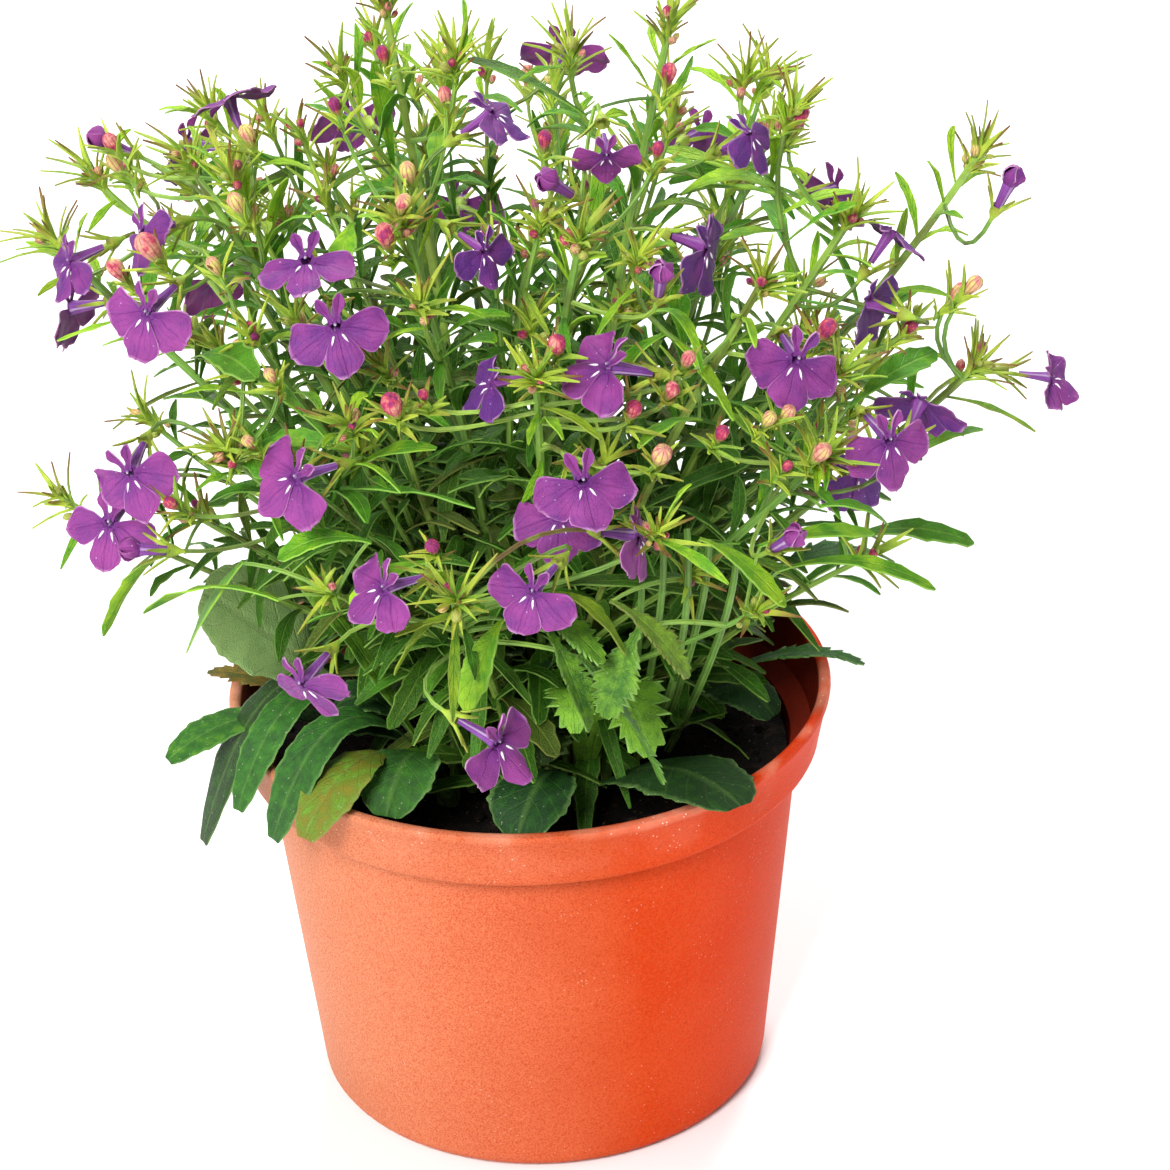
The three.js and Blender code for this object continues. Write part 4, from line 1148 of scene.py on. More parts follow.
class Skin(Nodes):
    """A material being made. It has its mottling, its UV map and the corners' look, and colours are laid over
    one another by masks."""

    def __init__(self, name, patches, grain):
        self.made = bpy.data.materials.new(name)
        self.made.use_nodes = True
        super().__init__(self.made.node_tree)
        self.shader = self.tree.nodes["Principled BSDF"]
        self.place = self.add("TexCoord", {})["Object"]
        mottle = {"Vector": self.place, "Patches": patches, "Grain": grain}
        self.patch, self.fine = self.add("Group", mottle, node_tree=MOTTLE)
        self.uv = self.add("UVMap", {}, uv_map="UVMap")[0]
        self.u, self.v, _ = self.apart(self.uv)
        look = self.add("Attribute", {}, attribute_name="look", attribute_type="GEOMETRY")["Vector"]
        self.look = self.apart(look)

    def varied(self, amount):
        """The look's first number, varied by the patches."""
        return self.plus(self.look[0], self.times(self.minus(self.patch, 0.5), amount), True)

    def specks(self, size, low, high):
        cells = self.add("TexVoronoi", {"Vector": self.place, "Scale": size, "Randomness": 1.0})
        return self.between(cells["Distance"], high, low)

    def begin(self, value, places, colours):
        """The first colour, from a ramp over a value."""
        self.colour = self.add("ValToRGB", {0: value})[0]
        steps = self.colour.node.color_ramp.elements
        while len(steps) < len(places):
            steps.new(0.5)
        for step, place, colour in zip(steps, places, colours):
            step.position, step.color = place, (*colour, 1)

    def cover(self, share, colour):
        """Lays a colour over what there is, by a share."""
        inputs = {0: share, 6: self.colour, 7: (*colour, 1)}
        self.colour = self.add("Mix", inputs, data_type="RGBA", clamp_factor=True)[2]

    def done(self, smooth, rough, height, depth, shine=0.3):
        self.shader.inputs["Specular IOR Level"].default_value = shine
        bump = self.add("Bump", {"Height": height, "Distance": depth, "Strength": 1.0})
        roughness = self.between(self.fine, 0, 1, smooth, rough)
        surface = {"Base Color": self.colour, "Roughness": roughness, "Normal": bump["Normal"]}
        for socket, value in surface.items():
            self.tree.links.new(value, self.shader.inputs[socket])
        return self.made


def leaf_skin(name, ages, rib, bloom, count, slant, specks, edge, midrib=0.35, patches=160.0, mottled=0.6):
    """A leaf's green by its age and painted shade, with veins, a paler margin, a thin bloom, coloured patches
    and specks.
    """
    s = Skin(name, patches, 2600.0)
    midribs, veins, rim = s.add("Group", {"UV": s.uv, "Count": count, "Slant": slant}, node_tree=VEINS)
    s.begin(s.varied(mottled), (0.0, 0.5, 1.0), ages)
    s.cover(s.times(s.fine, 0.3), bloom)
    s.cover(s.times(s.patch, 0.15), bloom)
    s.cover(s.times(veins, 0.1), rib)
    s.cover(s.times(midribs, midrib), rib)
    s.cover(s.times(rim, s.between(s.patch, 0.1, 0.8, 0.3, 1.0), edge), [c * 1.4 + 0.04 for c in rib])
    s.cover(s.times(s.look[2], s.between(s.patch, 0.0, 0.9)), (0.30, 0.23, 0.02))
    s.cover(s.times(s.look[1], s.between(rim, 0, 1, 0.5, 1.0)), (0.15, 0.05, 0.02))
    s.cover(s.times(s.specks(700.0, 0.06, 0.12), specks), (0.40, 0.42, 0.28))
    sunken = s.plus(midribs, s.times(veins, 0.6))
    return s.done(0.38, 0.6, s.minus(s.times(s.fine, 0.6), sunken), 0.00016, 0.16)


def stem_skin():
    """Light green with pale ribs, flushed with dark red in places."""
    s = Skin("ribbed_stem", 110.0, 3000.0)
    ribs = s.calc("PINGPONG", s.times(s.u, 6.0), 0.5)
    greens = ((0.32, 0.50, 0.06), (0.13, 0.31, 0.035), (0.03, 0.10, 0.015))
    s.begin(s.varied(0.35), (0.0, 0.5, 1.0), greens)
    s.cover(s.times(s.minus(0.5, ribs), 0.55), (0.36, 0.50, 0.18))
    s.cover(s.times(s.look[1], s.between(s.patch, 0.2, 0.8)), (0.11, 0.03, 0.02))
    return s.done(0.4, 0.6, s.plus(ribs, s.times(s.fine, 0.4)), 0.00012)


def bract_skin():
    """Yellow-green that turns red-brown towards the tip."""
    s = Skin("bract", 300.0, 3200.0)
    greens = ((0.48, 0.60, 0.05), (0.20, 0.38, 0.03), (0.045, 0.14, 0.015))
    s.begin(s.varied(0.4), (0.0, 0.5, 1.0), greens)
    s.cover(s.times(s.fine, 0.2), (0.45, 0.54, 0.14))
    s.cover(s.times(s.between(s.v, 0.35, 0.95), s.look[1]), (0.17, 0.03, 0.02))
    return s.done(0.42, 0.62, s.fine, 0.00008)


def bud_skin():
    """Cream to pink-red with darker stripes. The look's first number is how red, its second how green."""
    s = Skin("bud", 500.0, 3200.0)
    lines = s.stripes(s.u, 10.0, 0.3, 0.42)
    reds = ((0.72, 0.60, 0.17), (0.72, 0.30, 0.24), (0.52, 0.045, 0.10), (0.26, 0.025, 0.14))
    s.begin(s.varied(0.8), (0.0, 0.4, 0.75, 1.0), reds)
    s.cover(s.times(lines, 0.45), (0.28, 0.02, 0.06))
    s.cover(s.between(s.v, 0.5, 0.1), (0.30, 0.42, 0.06))
    s.cover(s.look[1], (0.38, 0.48, 0.08))
    return s.done(0.35, 0.55, s.plus(lines, s.fine), 0.0001)


def petal_skin():
    """Violet-purple with faint veins out from the throat, darker towards the throat, and a pinker edge. The
    darker throat is partly painted shade and the pale edge partly a painted highlight. The look's first
    number darkens it as painted shade, on flowers that sit in shadow."""
    s = Skin("petal", 190.0, 3800.0)
    aside = s.minus(s.u, 0.5)
    bend = s.times(s.minus(s.patch, 0.5), 0.2, s.v)
    lines = s.stripes(s.plus(aside, bend), 7.0, 0.06, 0.0)
    middle = s.between(s.calc("ABSOLUTE", aside), 0.03, 0.0)
    rim = s.calc("MAXIMUM", s.times(s.calc("ABSOLUTE", aside), 2.0), s.v)
    violets = ((0.26, 0.036, 0.225), (0.185, 0.024, 0.19), (0.06, 0.010, 0.155))
    s.begin(s.varied(0.7), (0.0, 0.4, 1.0), violets)
    s.cover(s.times(lines, 0.16), (0.10, 0.01, 0.14))
    s.cover(s.times(middle, 0.55, s.between(s.v, 0.95, 0.3)), (0.08, 0.01, 0.13))
    # a pinker edge: the petal's own, paled further as a painted highlight
    s.cover(s.times(s.between(rim, 0.93, 1.0), s.between(s.patch, 0.25, 0.75, 0.1, 0.75)), (0.66, 0.34, 0.60))
    # darker towards the throat: the petal's own deeper base, with painted shade where the lobes meet the tube
    s.cover(s.times(s.between(s.v, 0.48, 0.02), 0.8), (0.10, 0.011, 0.17))
    s.cover(s.times(s.fine, 0.2), (0.44, 0.11, 0.38))
    s.cover(s.times(s.specks(520.0, 0.05, 0.08), 0.5), (0.75, 0.6, 0.78))
    return s.done(0.5, 0.7, s.minus(s.times(s.fine, 0.7), s.plus(s.times(lines, 0.6), middle)), 0.0001)


def tube_skin():
    """Violet, paler than the petals, with dark lines and whitish streaks along it."""
    s = Skin("flower_tube", 300.0, 3600.0)
    s.begin(s.patch, (0.0, 1.0), ((0.16, 0.04, 0.26), (0.26, 0.08, 0.36)))
    s.cover(s.times(s.stripes(s.u, 3.0, 0.34, 0.5), 0.7), (0.62, 0.50, 0.68))
    s.cover(s.times(s.stripes(s.u, 9.0, 0.12, 0.02), 0.75), (0.06, 0.01, 0.11))
    s.cover(s.between(s.v, 0.93, 0.98), (0.10, 0.012, 0.15))
    # the look's first number lays plain violet over the streaks; on a flower's tube it carries the flower's
    # painted shade
    s.cover(s.look[0], (0.22, 0.04, 0.26))
    return s.done(0.42, 0.6, s.fine, 0.0001)


def throat_white():
    """The pale streaks at a flower's throat, yellow at their inner ends."""
    s = Skin("throat_white", 900.0, 5200.0)
    s.begin(s.patch, (0.0, 1.0), ((0.78, 0.70, 0.82), (0.92, 0.90, 0.90)))
    s.cover(s.between(s.v, 0.3, 0.12), (0.75, 0.50, 0.03))
    s.cover(s.between(s.v, 0.75, 1.0, 0.0, 0.7), (0.36, 0.12, 0.42))
    return s.done(0.4, 0.6, s.fine, 0.00005)


def stamen_skin():
    """Dark violet, with a pale tuft at the tip."""
    s = Skin("stamens", 900.0, 5200.0)
    violets = ((0.14, 0.02, 0.18), (0.06, 0.015, 0.12), (0.22, 0.14, 0.28), (0.55, 0.48, 0.52))
    s.begin(s.v, (0.0, 0.75, 0.93, 1.0), violets)
    s.cover(s.times(s.patch, 0.25), (0.30, 0.10, 0.32))
    return s.done(0.4, 0.6, s.fine, 0.00006)


def pot_plastic():
    """Moulded orange plastic with painted light: painted shade makes one side redder and a painted highlight
    pales the other. Fine grain, and pale specks and scuffs that gather on the rim. Inside it is stained and
    darkened with painted shade."""
    s = Skin("pot_plastic", 38.0, 1500.0)
    grain, clumps = s.noise(s.place, 2900.0), s.noise(s.place, 90.0)
    aside, _, high = s.apart(s.place)
    # painted highlight: the left side (-X), where the key light falls, is paled
    painted_highlight = s.plus(s.between(aside, 0.02, -0.058), s.times(s.patch, 0.05))
    s.begin(s.patch, (0.0, 1.0), ((0.54, 0.046, 0.005), (0.59, 0.058, 0.008)))
    # painted shade: the right side (+X), away from the key light, turns a deeper red
    s.cover(s.between(aside, 0.01, 0.056, 0.0, 0.95), (0.72, 0.036, 0.003))
    s.cover(s.times(painted_highlight, 0.6), (0.52, 0.33, 0.19))
    # the grain's pale flecks belong to the painted highlight and show only where it lies
    s.cover(s.times(s.between(grain, 0.45, 0.65), s.times(painted_highlight, 0.4)), (0.66, 0.34, 0.19))
    s.cover(s.times(s.between(s.fine, 0.3, 0.9), 0.2), (0.66, 0.15, 0.04))
    s.cover(s.times(s.between(grain, 0.5, 0.32), 0.5), (0.36, 0.03, 0.006))
    lip, band = s.between(high, 0.0845, 0.0868), s.between(high, 0.0755, 0.079)
    scuffed = s.plus(s.times(lip, 0.5), s.times(band, 0.08))
    s.cover(s.times(s.between(clumps, 0.42, 0.68), scuffed), (0.85, 0.42, 0.28))
    specked = s.plus(s.plus(s.times(lip, 0.5), s.times(band, 0.35)), 0.2)
    specks = s.times(s.specks(800.0, 0.1, 0.16), s.between(clumps, 0.5, 0.6))
    s.cover(s.times(specks, specked), (0.93, 0.74, 0.58))
    # soil stain and painted shade darken the inner wall
    s.cover(s.times(s.look[0], 0.85), (0.13, 0.012, 0.006))
    return s.done(0.38, 0.52, s.plus(grain, s.times(s.fine, 0.6)), 0.00006, 0.03)


def compost():
    """Dark crumbly compost with a few paler bits."""
    s = Skin("compost", 260.0, 2200.0)
    earths = ((0.002, 0.0015, 0.001), (0.008, 0.005, 0.003), (0.03, 0.016, 0.009))
    s.begin(s.patch, (0.0, 0.6, 1.0), earths)
    s.cover(s.times(s.specks(520.0, 0.1, 0.16), 0.3), (0.3, 0.19, 0.12))
    return s.done(0.7, 0.95, s.plus(s.fine, s.patch), 0.0005, 0.15)


def studio_paper():
    s = Skin("studio_paper", 3.0, 400.0)
    s.begin(s.patch, (0.0, 1.0), ((0.88,) * 3, (0.9,) * 3))
    return s.done(0.85, 0.95, s.fine, 0.00001)


# ---------------------------------------------------------------- the pot and the soil


def moulded_pot(plastic):
    """The pot's wall drawn up ring by ring, over its lip and down to the floor, with its drain holes cut."""
    high, step = POT["height"], POT["height"] - POT["band_height"]
    base, body, band, rim = POT["base"], POT["body"], POT["band"], POT["rim"]
    edge, wall, floor = POT["edge"], POT["wall"], POT["floor"]
    slope = (body - base) / (step - 1 - edge)
    turns = (0, 0.35, 0.79, 1.22, 1.57)
    corner = [(base - edge + edge * math.sin(a), edge - edge * math.cos(a)) for a in turns]
    side = [(base + slope * (z - edge), z) for z in (12, 24, 36, 48, 60, 70, 73)]
    ledge = [(body + 0.05, step - 1.1), (body + 0.25, step - 0.7), (band - 0.9, step - 0.5),
             (band - 0.25, step - 0.3), (band, step + 0.2), (band + 0.1, step + 1.0)]
    lip = [(band + 1.1, step + 6), (rim - 0.55, high - 2.4), (rim - 0.1, high - 1.7), (rim, high - 1.0),
           (rim - 0.25, high - 0.35), (rim - 0.9, high), (rim - 1.7, high - 0.1), (rim - 2.3, high - 0.6),
           (rim - 2.5, high - 1.4)]
    inside = [(band - wall + 0.5, step + 5), (band - wall, step + 1.2), (body - wall, step - 1),
              (body - wall - slope * 30, step - 31), (base - wall, floor + 1.4), (base - wall - 1.4, floor)]
    pot = raised("pot", 128, [[r * MM, z * MM] for r, z in corner + side + ledge + lip + inside])
    for i in range(DRAIN["count"]):
        at = heading(360 * (i + 0.5) / DRAIN["count"]) * DRAIN["ring"] * MM
        radius = DRAIN["radius"] * MM
        bpy.ops.mesh.primitive_cylinder_add(vertices=24, radius=radius, depth=12 * MM, location=at)
        hole = bpy.context.object
        finished(pot, "BOOLEAN", object=hole, operation="DIFFERENCE", solver="EXACT")
        removed(hole)
    merged(pot, 1e-6)
    co = corners(pot.data) / MM
    outer = np.interp(co[:, 2], [0, step - 1, step, high], [base, body, band, rim])
    # the inner wall, marked for its soil stain and painted shade
    stained_and_shaded = (np.hypot(co[:, 0], co[:, 1]) < outer - 0.9) & (co[:, 2] > floor) & (co[:, 2] < high - 1.2)
    look_at_all(pot, np.outer(stained_and_shaded, [1, 0, 0]))
    hold(pot)
    bpy.ops.object.shade_smooth_by_angle(angle=math.radians(40))
    rides(painted(pot, plastic), "pot")


def crumbled_soil(earth):
    """The compost: a disc whose top is uneven, with crumbs lying on it."""
    slope = (POT["body"] - POT["base"]) / (POT["height"] - POT["band_height"] - 1 - POT["floor"])
    rings = []
    for z in (POT["floor"] + GAP, SOIL_TOP - 0.6):
        rings.append([(POT["base"] - POT["wall"] + slope * (z - POT["floor"]) - GAP - 0.2) * MM, z * MM])
    wide, top = rings[1]
    body = raised("soil", 96, rings)
    with editing(body):
        choose(lambda co: co.z > top - MM, "FACE")
        for _ in range(17):
            bpy.ops.mesh.inset(thickness=2.8 * MM)
    merged(body, 1e-6)

    def uneven(co):
        rough = [noise.fractal(Vector(c) * 160, 0.9, 2.2, 4) + 0.6 * noise.noise(Vector(c) * 600) for c in co]
        inner = np.clip((wide - norm(co[:, :2], axis=1)) / 0.002, 0, 1) * (co[:, 2] > top - MM)
        co[:, 2] += inner * np.clip(0.0007 * np.array(rough), -0.0016, 0.0013)
        return co

    reshaped(body, uneven)
    bpy.ops.object.select_all(action="DESELECT")
    bpy.ops.mesh.primitive_ico_sphere_add(subdivisions=1, radius=1)
    crumb = bpy.context.object
    with editing(crumb):
        bpy.ops.mesh.select_all(action="SELECT")
        bpy.ops.mesh.subdivide(number_cuts=1, fractal=1.2, seed=5)
        bpy.ops.transform.resize(value=(1.0, 0.8, 0.62))
    pieces = [body]
    for _ in range(420):
        reach, bearing = 50 * math.sqrt(some(0, 1)), some(0, 360)
        size = pick([0.5, 0.7, 0.9, 1.3, 1.8], p=[0.3, 0.3, 0.2, 0.14, 0.06])
        place = heading(bearing) * reach + UP * (top / MM + 0.2 * size)
        out = unit(np.array([*some(-1, 1, 2), some(0.3, 1)]))
        pieces.append(copied(crumb, standing(place, out, size, some(0, 360), size)))
    removed(crumb)
    for piece in pieces:
        painted(piece, earth)
    rides(joined("soil_crumbs", pieces), "soil")


# ---------------------------------------------------------------- the plant

# The three kinds of leafy stem: the shape, how red it may flush, its hairs, its tuft as (bracts, buds,
# reach), and the leaves that fill it as (first share, last share, spacing, most, scale).
MAIN_STEM = dict(shape="stem", flush=0.55, hairs=46, tuft=(24, 5, 10.5), filled=(0.1, 0.97, 3.6, 56))
SIDE_SHOOT = dict(shape="stalk", flush=0.4, hairs=0, tuft=(20, 4, 10.0), filled=(0.15, 0.97, 4.0, 12, 0.8))
THIN_STEM = dict(shape="thin_stem", flush=0.7, hairs=16, tuft=(16, 3, 9.0),
                 filled=(0.12, 0.96, 4.0, 42, 0.95))
LINEAR = 0.62  # how narrow the leaves near a tip are


def age_and_shade_at(place):
    """How old a leaf is and how dark, by where it grows: young and bright at the mound's top, and darkened
    low down and inside with painted shade.
    """
    high = np.clip((place[2] - 84) / 110, 0, 1)
    out = np.clip(norm((place - CENTRE) / RADII), 0, 1)
    # painted shade: leaves low down and inside the mound are darkened
    return float(np.clip(0.62 - 0.42 * high + 2.8 * (0.92 - out) + some(-0.36, 0.36), 0, 1))


def leaf_copy(shape, leaf, age=None):
    age = age_and_shade_at(leaf["curve"].at(0.5)) if age is None else age
    tinge = pick([0.0, 0.12, 0.5], p=[0.68, 0.22, 0.1])
    place = on_curve(leaf["curve"], leaf["side"], leaf["width"] / 2, twist=some(-45, 45),
                     curl=some(-0.05, 0.12), ruffle=some(0, 0.35), phase=some(0, 6))
    return copied(shape, place, (age, tinge, 0))


def leaf_copies(shapes, leaves, broad):
    """Leaves that are toothed where they are broader than `broad`."""
    kinds = ["toothed_leaf" if leaf["width"] > broad else "narrow_leaf" for leaf in leaves]
    return [leaf_copy(shapes[kind], leaf) for kind, leaf in zip(kinds, leaves)]


def bracts_round(shapes, tip, aim, count, reach, spread=34.0):
    """Thin bracts all round a stem's end, the lower ones leaning out further."""
    made = []
    for i in range(count):
        back = some(0, 5.5)
        lean = math.radians(some(6, spread) + 5 * back)
        first = square_to(aim, NEXT_TURN * i + some(-25, 25), (0.3, 0.8, 0.2))
        foot, long = tip - aim * (back - 0.5), reach * some(0.4, 1.1)
        way = aim * math.cos(lean) + first * math.sin(lean)
        hook = first * some(-0.12, 0.3) + np.cross(aim, first) * some(-0.24, 0.24)
        bend = foot + (aim * 0.3 + first * 0.7) * long * 0.3 * math.sin(lean) + aim * long * 0.3
        curve = Curve(foot, bend, foot + (way + hook) * long)
        look = (some(0.0, 0.5), pick([0.1, 0.45, 0.9], p=[0.5, 0.25, 0.25]), 0)
        made.append(copied(shapes["needle"], on_curve(curve, np.cross(first, aim), some(0.32, 0.64)), look))
    return made


def tuft(shapes, tip, aim, bracts, buds, reach):
    """The end of a stem: thin bracts with small buds among them."""
    made = bracts_round(shapes, tip, aim, bracts, reach)
    for i in range(buds):
        turn = square_to(aim, 360 * i / buds + some(-40, 40), (0.8, 0.1, 0.3))
        foot = tip - aim * some(-1.5, 4.0) + turn * some(0.5, 1.8)
        out, size = unit(aim + turn * some(0.3, 1.3)), some(0.5, 0.95)
        look = (some(0.0, 1.0), pick([0.0, 0.15, 0.85], p=[0.5, 0.2, 0.3]), 0)
        made.append(copied(shapes["small_bud"], standing(foot, out, size, some(0, 360), size), look))
    return made


def hairs(shape, curve, radius, count):
    """Short pale hairs that stand off the lower part of a stem."""
    made = []
    for _ in range(count):
        t = some(0.06, 0.6)
        axis = curve.tangent(t)
        out = square_to(axis, some(0, 360))
        foot, long = curve.at(t) + out * radius * 0.9, some(0.5, 1.2)
        made.append(copied(shape, standing(foot, unit(out + axis * 0.3), 0.05, 0, long), (0, 0, 0)))
    return made


def bare_stem(shape, axis, foot, tip, flush):
    look = (some(0.05, 0.6), some(0, flush), 0)
    return copied(shape, along_stem(axis["curve"], axis["side"], foot, tip), look)


def tufted_stem(shapes, kind, axis, foot, tip):
    """A stem with its hairs and the tuft at its tip."""
    made = [bare_stem(shapes[kind["shape"]], axis, foot, tip, kind["flush"])]
    made += hairs(shapes["hair"], axis["curve"], foot, kind["hairs"])
    return made + tuft(shapes, axis["tip"], axis["aim"], *kind["tuft"])


def stalk_and_calyx(shapes, stalk):
    made = [bare_stem(shapes["stalk"], dict(stalk, side=stalk["across"]), 0.5, 0.45, 0.9)]
    place = standing(stalk["foot"] - stalk["out"] * STAR_SUNK, stalk["out"], 1.0, some(0, 360))
    more_red = some(0, 0.3)
    return made + [copied(shapes["calyx"], place, lambda old: old + (0, more_red, 0))]


def set_bud(shapes, bud):
    opening = bud["index"] in OPENING
    red = some(0.0, 0.5) if opening else some(0.25, 1.0)
    size = 1.0 if opening else some(0.78, 0.95)
    place = standing(bud["place"], bud["out"], size, some(0, 360), size)
    return copied(shapes["opening_bud" if opening else "bud"], place, (red, 0, 0))


def twig_with_bud(shapes, twig):
    tip, aim, size = twig["tip"], twig["aim"], twig["size"]
    made = [bare_stem(shapes["stalk"], twig, 0.5, 0.4, 0.5)]
    made += bracts_round(shapes, tip - aim, aim, 9, 7.5, 44.0)
    upright = standing(tip, aim, size, some(0, 360), size)
    return made + [copied(shapes["twig_bud"], upright, (twig["red"], 0, 0))]


def single_leaf(shapes, leaf):
    thick = 0.3 + 0.03 * leaf["width"]
    stalk = along_stem(leaf["stalk"], leaf["side"], thick, thick * 0.8)
    blade = shapes["sharp_leaf" if leaf["width"] > 7 else "toothed_leaf"]
    held = copied(shapes["stalk"], stalk, (0.2 + 0.5 * leaf["age"], 0.1, 0))
    return [held, leaf_copy(blade, leaf, leaf["age"])]


def dressed_stem(stem, shapes, growth, faces):
    """A leafy stem: its shoots, stalks, calyces, buds and tufts, and all the finer growth in its part of the
    plant."""
    here = {kind: [one for one in grown if one["node"] == stem["node"]] for kind, grown in growth.items()}
    made = tufted_stem(shapes, MAIN_STEM, stem, STEM["foot"], STEM["tip"])
    for stalk in stem["stalks"] + stem["buds"]:
        made += stalk_and_calyx(shapes, stalk)
    made += [set_bud(shapes, bud) for bud in stem["buds"]]
    leaves = [dict(leaf, width=leaf["width"] * (LINEAR if leaf["linear"] else 1)) for leaf in stem["leaves"]]
    made += leaf_copies(shapes, leaves, 4.6)
    extra = fill_with_leaves(stem, faces, *MAIN_STEM["filled"])
    for shoot in stem["shoots"]:
        made += tufted_stem(shapes, SIDE_SHOOT, shoot, SHOOT["foot"], SHOOT["tip"])
        extra += fill_with_leaves(shoot, faces, *SIDE_SHOOT["filled"])
    for other in here["thin stems"]:
        made += tufted_stem(shapes, THIN_STEM, other, other["foot"], 0.5)
        extra += fill_with_leaves(other, faces, *THIN_STEM["filled"])
    for twig in here["twigs"]:
        made += twig_with_bud(shapes, twig)
    for leaf in here["single leaves"]:
        made += single_leaf(shapes, leaf)
    for bare in here["bare stems"]:
        place = along_stem(bare["curve"], bare["side"], 0.85, 0.6)
        made.append(copied(shapes["thin_stem"], place, (0.62, 0.1, 0)))
    made += leaf_copies(shapes, extra, 4.0)
    rides(joined(stem["node"] + "_foliage", made), stem["node"])


def dressed_rosette(rosette, shapes, tongues, pale_green):
    """A crown with its basal leaves, and the tongues that rise from it."""
    made, (x, y, _) = [], rosette["crown"]
    peg = standing(np.array([x, y, SOIL_TOP - ROOT_DEPTH]), UP, CROWN["radius"], 0, 0.94)
    made.append(copied(shapes["crown"], peg, (0.5, 0.4, 0)))
    for leaf in rosette["leaves"]:
        bearing, outline = leaf["bearing"], leaf["outline"]
        kind = "sharp_leaf" if outline is TOOTHED else "blunt_leaf" if outline is BLUNT else "wide_leaf"
        kind = "long_leaf" if bearing in LONG_LEAVES else kind
        look = BASAL_LOOKS.get(bearing, (some(0.6, 0.95), pick([0.0, 0.15]), 0))
        place = on_curve(leaf["curve"], leaf["side"], leaf["width"] / 2 * WIDER_LEAVES.get(bearing, 1),
                         twist=some(-12, 12), curl=some(-0.02, 0.015), ruffle=some(0.2, 0.7))
        made.append(copied(shapes[kind], place, look))
        # painted light: the pale skin gives this leaf its grey-green and lightens it where it lies in shade
        if bearing == PALE_LEAF:
            painted(made[-1], pale_green)
    for tongue in tongues:
        look = (min(1.0, 0.15 + age_and_shade_at(tongue["curve"].at(0.8))), pick([0, 0.2]), 0)
        place = on_curve(tongue["curve"], tongue["side"], tongue["width"] / 2, twist=some(-50, 50),
                         curl=some(-0.04, 0.04), ruffle=some(0.1, 0.6))
        made.append(copied(shapes["tongue"], place, look))
    rides(joined(rosette["node"] + "_leaves", made), rosette["node"])


def dressed_flower(flower, shapes, index):
    # painted shade for the listed flowers in shadow, and a little random tone for the rest
    tone_and_shade = SHADED_FLOWERS.get(index, some(0.0, 0.25))
    size = SMALL_FLOWERS.get(index, some(0.93, 1.0))
    curls = (2.5, 2.8, 2.5) if index in CURLED_FLOWERS else some(-1.0, 1.0, 3)
    place = facing(flower, size, curls, some(-1.5, 2.8, 2), 2.4 * index)
    kind = "gapped" if index in GAPPED_FLOWERS else "uneven" if index in UNEVEN_FLOWERS else "full"
    piece = copied(shapes[kind + "_flower"], place, lambda old: old + (tone_and_shade, 0, 0))
    name = flower["node"] + ("_flower" if flower["own"] else "_half_hidden_flower")
    rides(joined(name, [piece]), flower["node"])


# ---------------------------------------------------------------- studio


def set_camera():
    """800 mm from the middle of the plant, looking down on it by VIEW_RISE degrees."""
    target, rise = Vector((0.0117, 0, 0.1075)), math.radians(VIEW_RISE)
    right, up = Vector((1, 0, 0)), Vector((0, math.sin(rise), math.cos(rise)))
    back = Vector((0, -math.cos(rise), math.sin(rise)))
    across = right * math.cos(VIEW_ROLL) + up * math.sin(VIEW_ROLL)
    upright = up * math.cos(VIEW_ROLL) - right * math.sin(VIEW_ROLL)
    data = bpy.data.cameras.new("camera")
    data.lens, data.sensor_width, data.clip_start, data.clip_end = 124.9, 36, 0.01, 20
    camera = placed("camera", data)
    turn = Matrix((across, upright, back)).transposed().to_4x4()
    camera.matrix_world = Matrix.Translation(target + back * 0.8) @ turn
    bpy.context.scene.camera = camera


def set_light(name, place, size, power, aim=(0, 0, 0.12)):
    data = bpy.data.lights.new(name, "AREA")
    data.shape, data.size, data.energy = "SQUARE", size, power
    light = placed(name, data)
    light.location = place
    light.rotation_euler = (Vector(aim) - Vector(place)).to_track_quat("-Z", "Y").to_euler()


def set_studio():
    world = bpy.data.worlds.new("studio")
    bpy.context.scene.world = world
    world.use_nodes = True
    sky = world.node_tree.nodes["Background"]
    sky.inputs["Color"].default_value = (1, 1, 1, 1)
    sky.inputs["Strength"].default_value = 0.32
    set_light("key", (-0.9, -2.15, 2.05), 1.0, 109)
    set_light("left", (-1.9, -0.6, 1.1), 1.4, 11)
    set_light("back", (0.3, 1.6, 1.9), 1.2, 72, (0.15, 0.5, 0))
    bpy.ops.object.select_all(action="DESELECT")
    bpy.ops.mesh.primitive_plane_add(size=8, location=(0, 0, -0.0002))
    floor = painted(bpy.context.object, studio_paper())
    floor.name = "floor"
    view = bpy.context.scene.view_settings
    view.view_transform, view.look, view.exposure = "Standard", "None", 0.0


# ---------------------------------------------------------------- all of it

# Buds and flowers with a form, a colour or a painted shade of their own, by their number in the plan.
OPENING = (0, 1, 2, 3, 4, 7)
CURLED_FLOWERS, UNEVEN_FLOWERS = (18, 23), (6, 11, 21, 33)
GAPPED_FLOWERS = (1, 2, 5, 7, 9, 12, 13, 16, 19, 24, 30)
# painted shade: how much darker each listed flower is, where it sits in shadow
SHADED_FLOWERS = {16: 0.85, 26: 0.8, 28: 0.8, 27: 0.8, 1: 0.7, 7: 0.75, 19: 0.7, 22: 0.6, 24: 0.75, 3: 0.4,
                2: 0.5, 5: 0.35, 6: 0.3, 0: 0.4}
SMALL_FLOWERS = {18: 0.66, 23: 0.76, 7: 0.74, 16: 0.8, 19: 0.78, 1: 0.84, 24: 0.85, 3: 0.86, 2: 0.84,
                 14: 0.88, 11: 0.9, 29: 0.9, 15: 0.94, 10: 0.95, 6: 0.95, 21: 0.95, 12: 0.95, 22: 0.95,
                 26: 0.85, 25: 0.9, 28: 0.9}
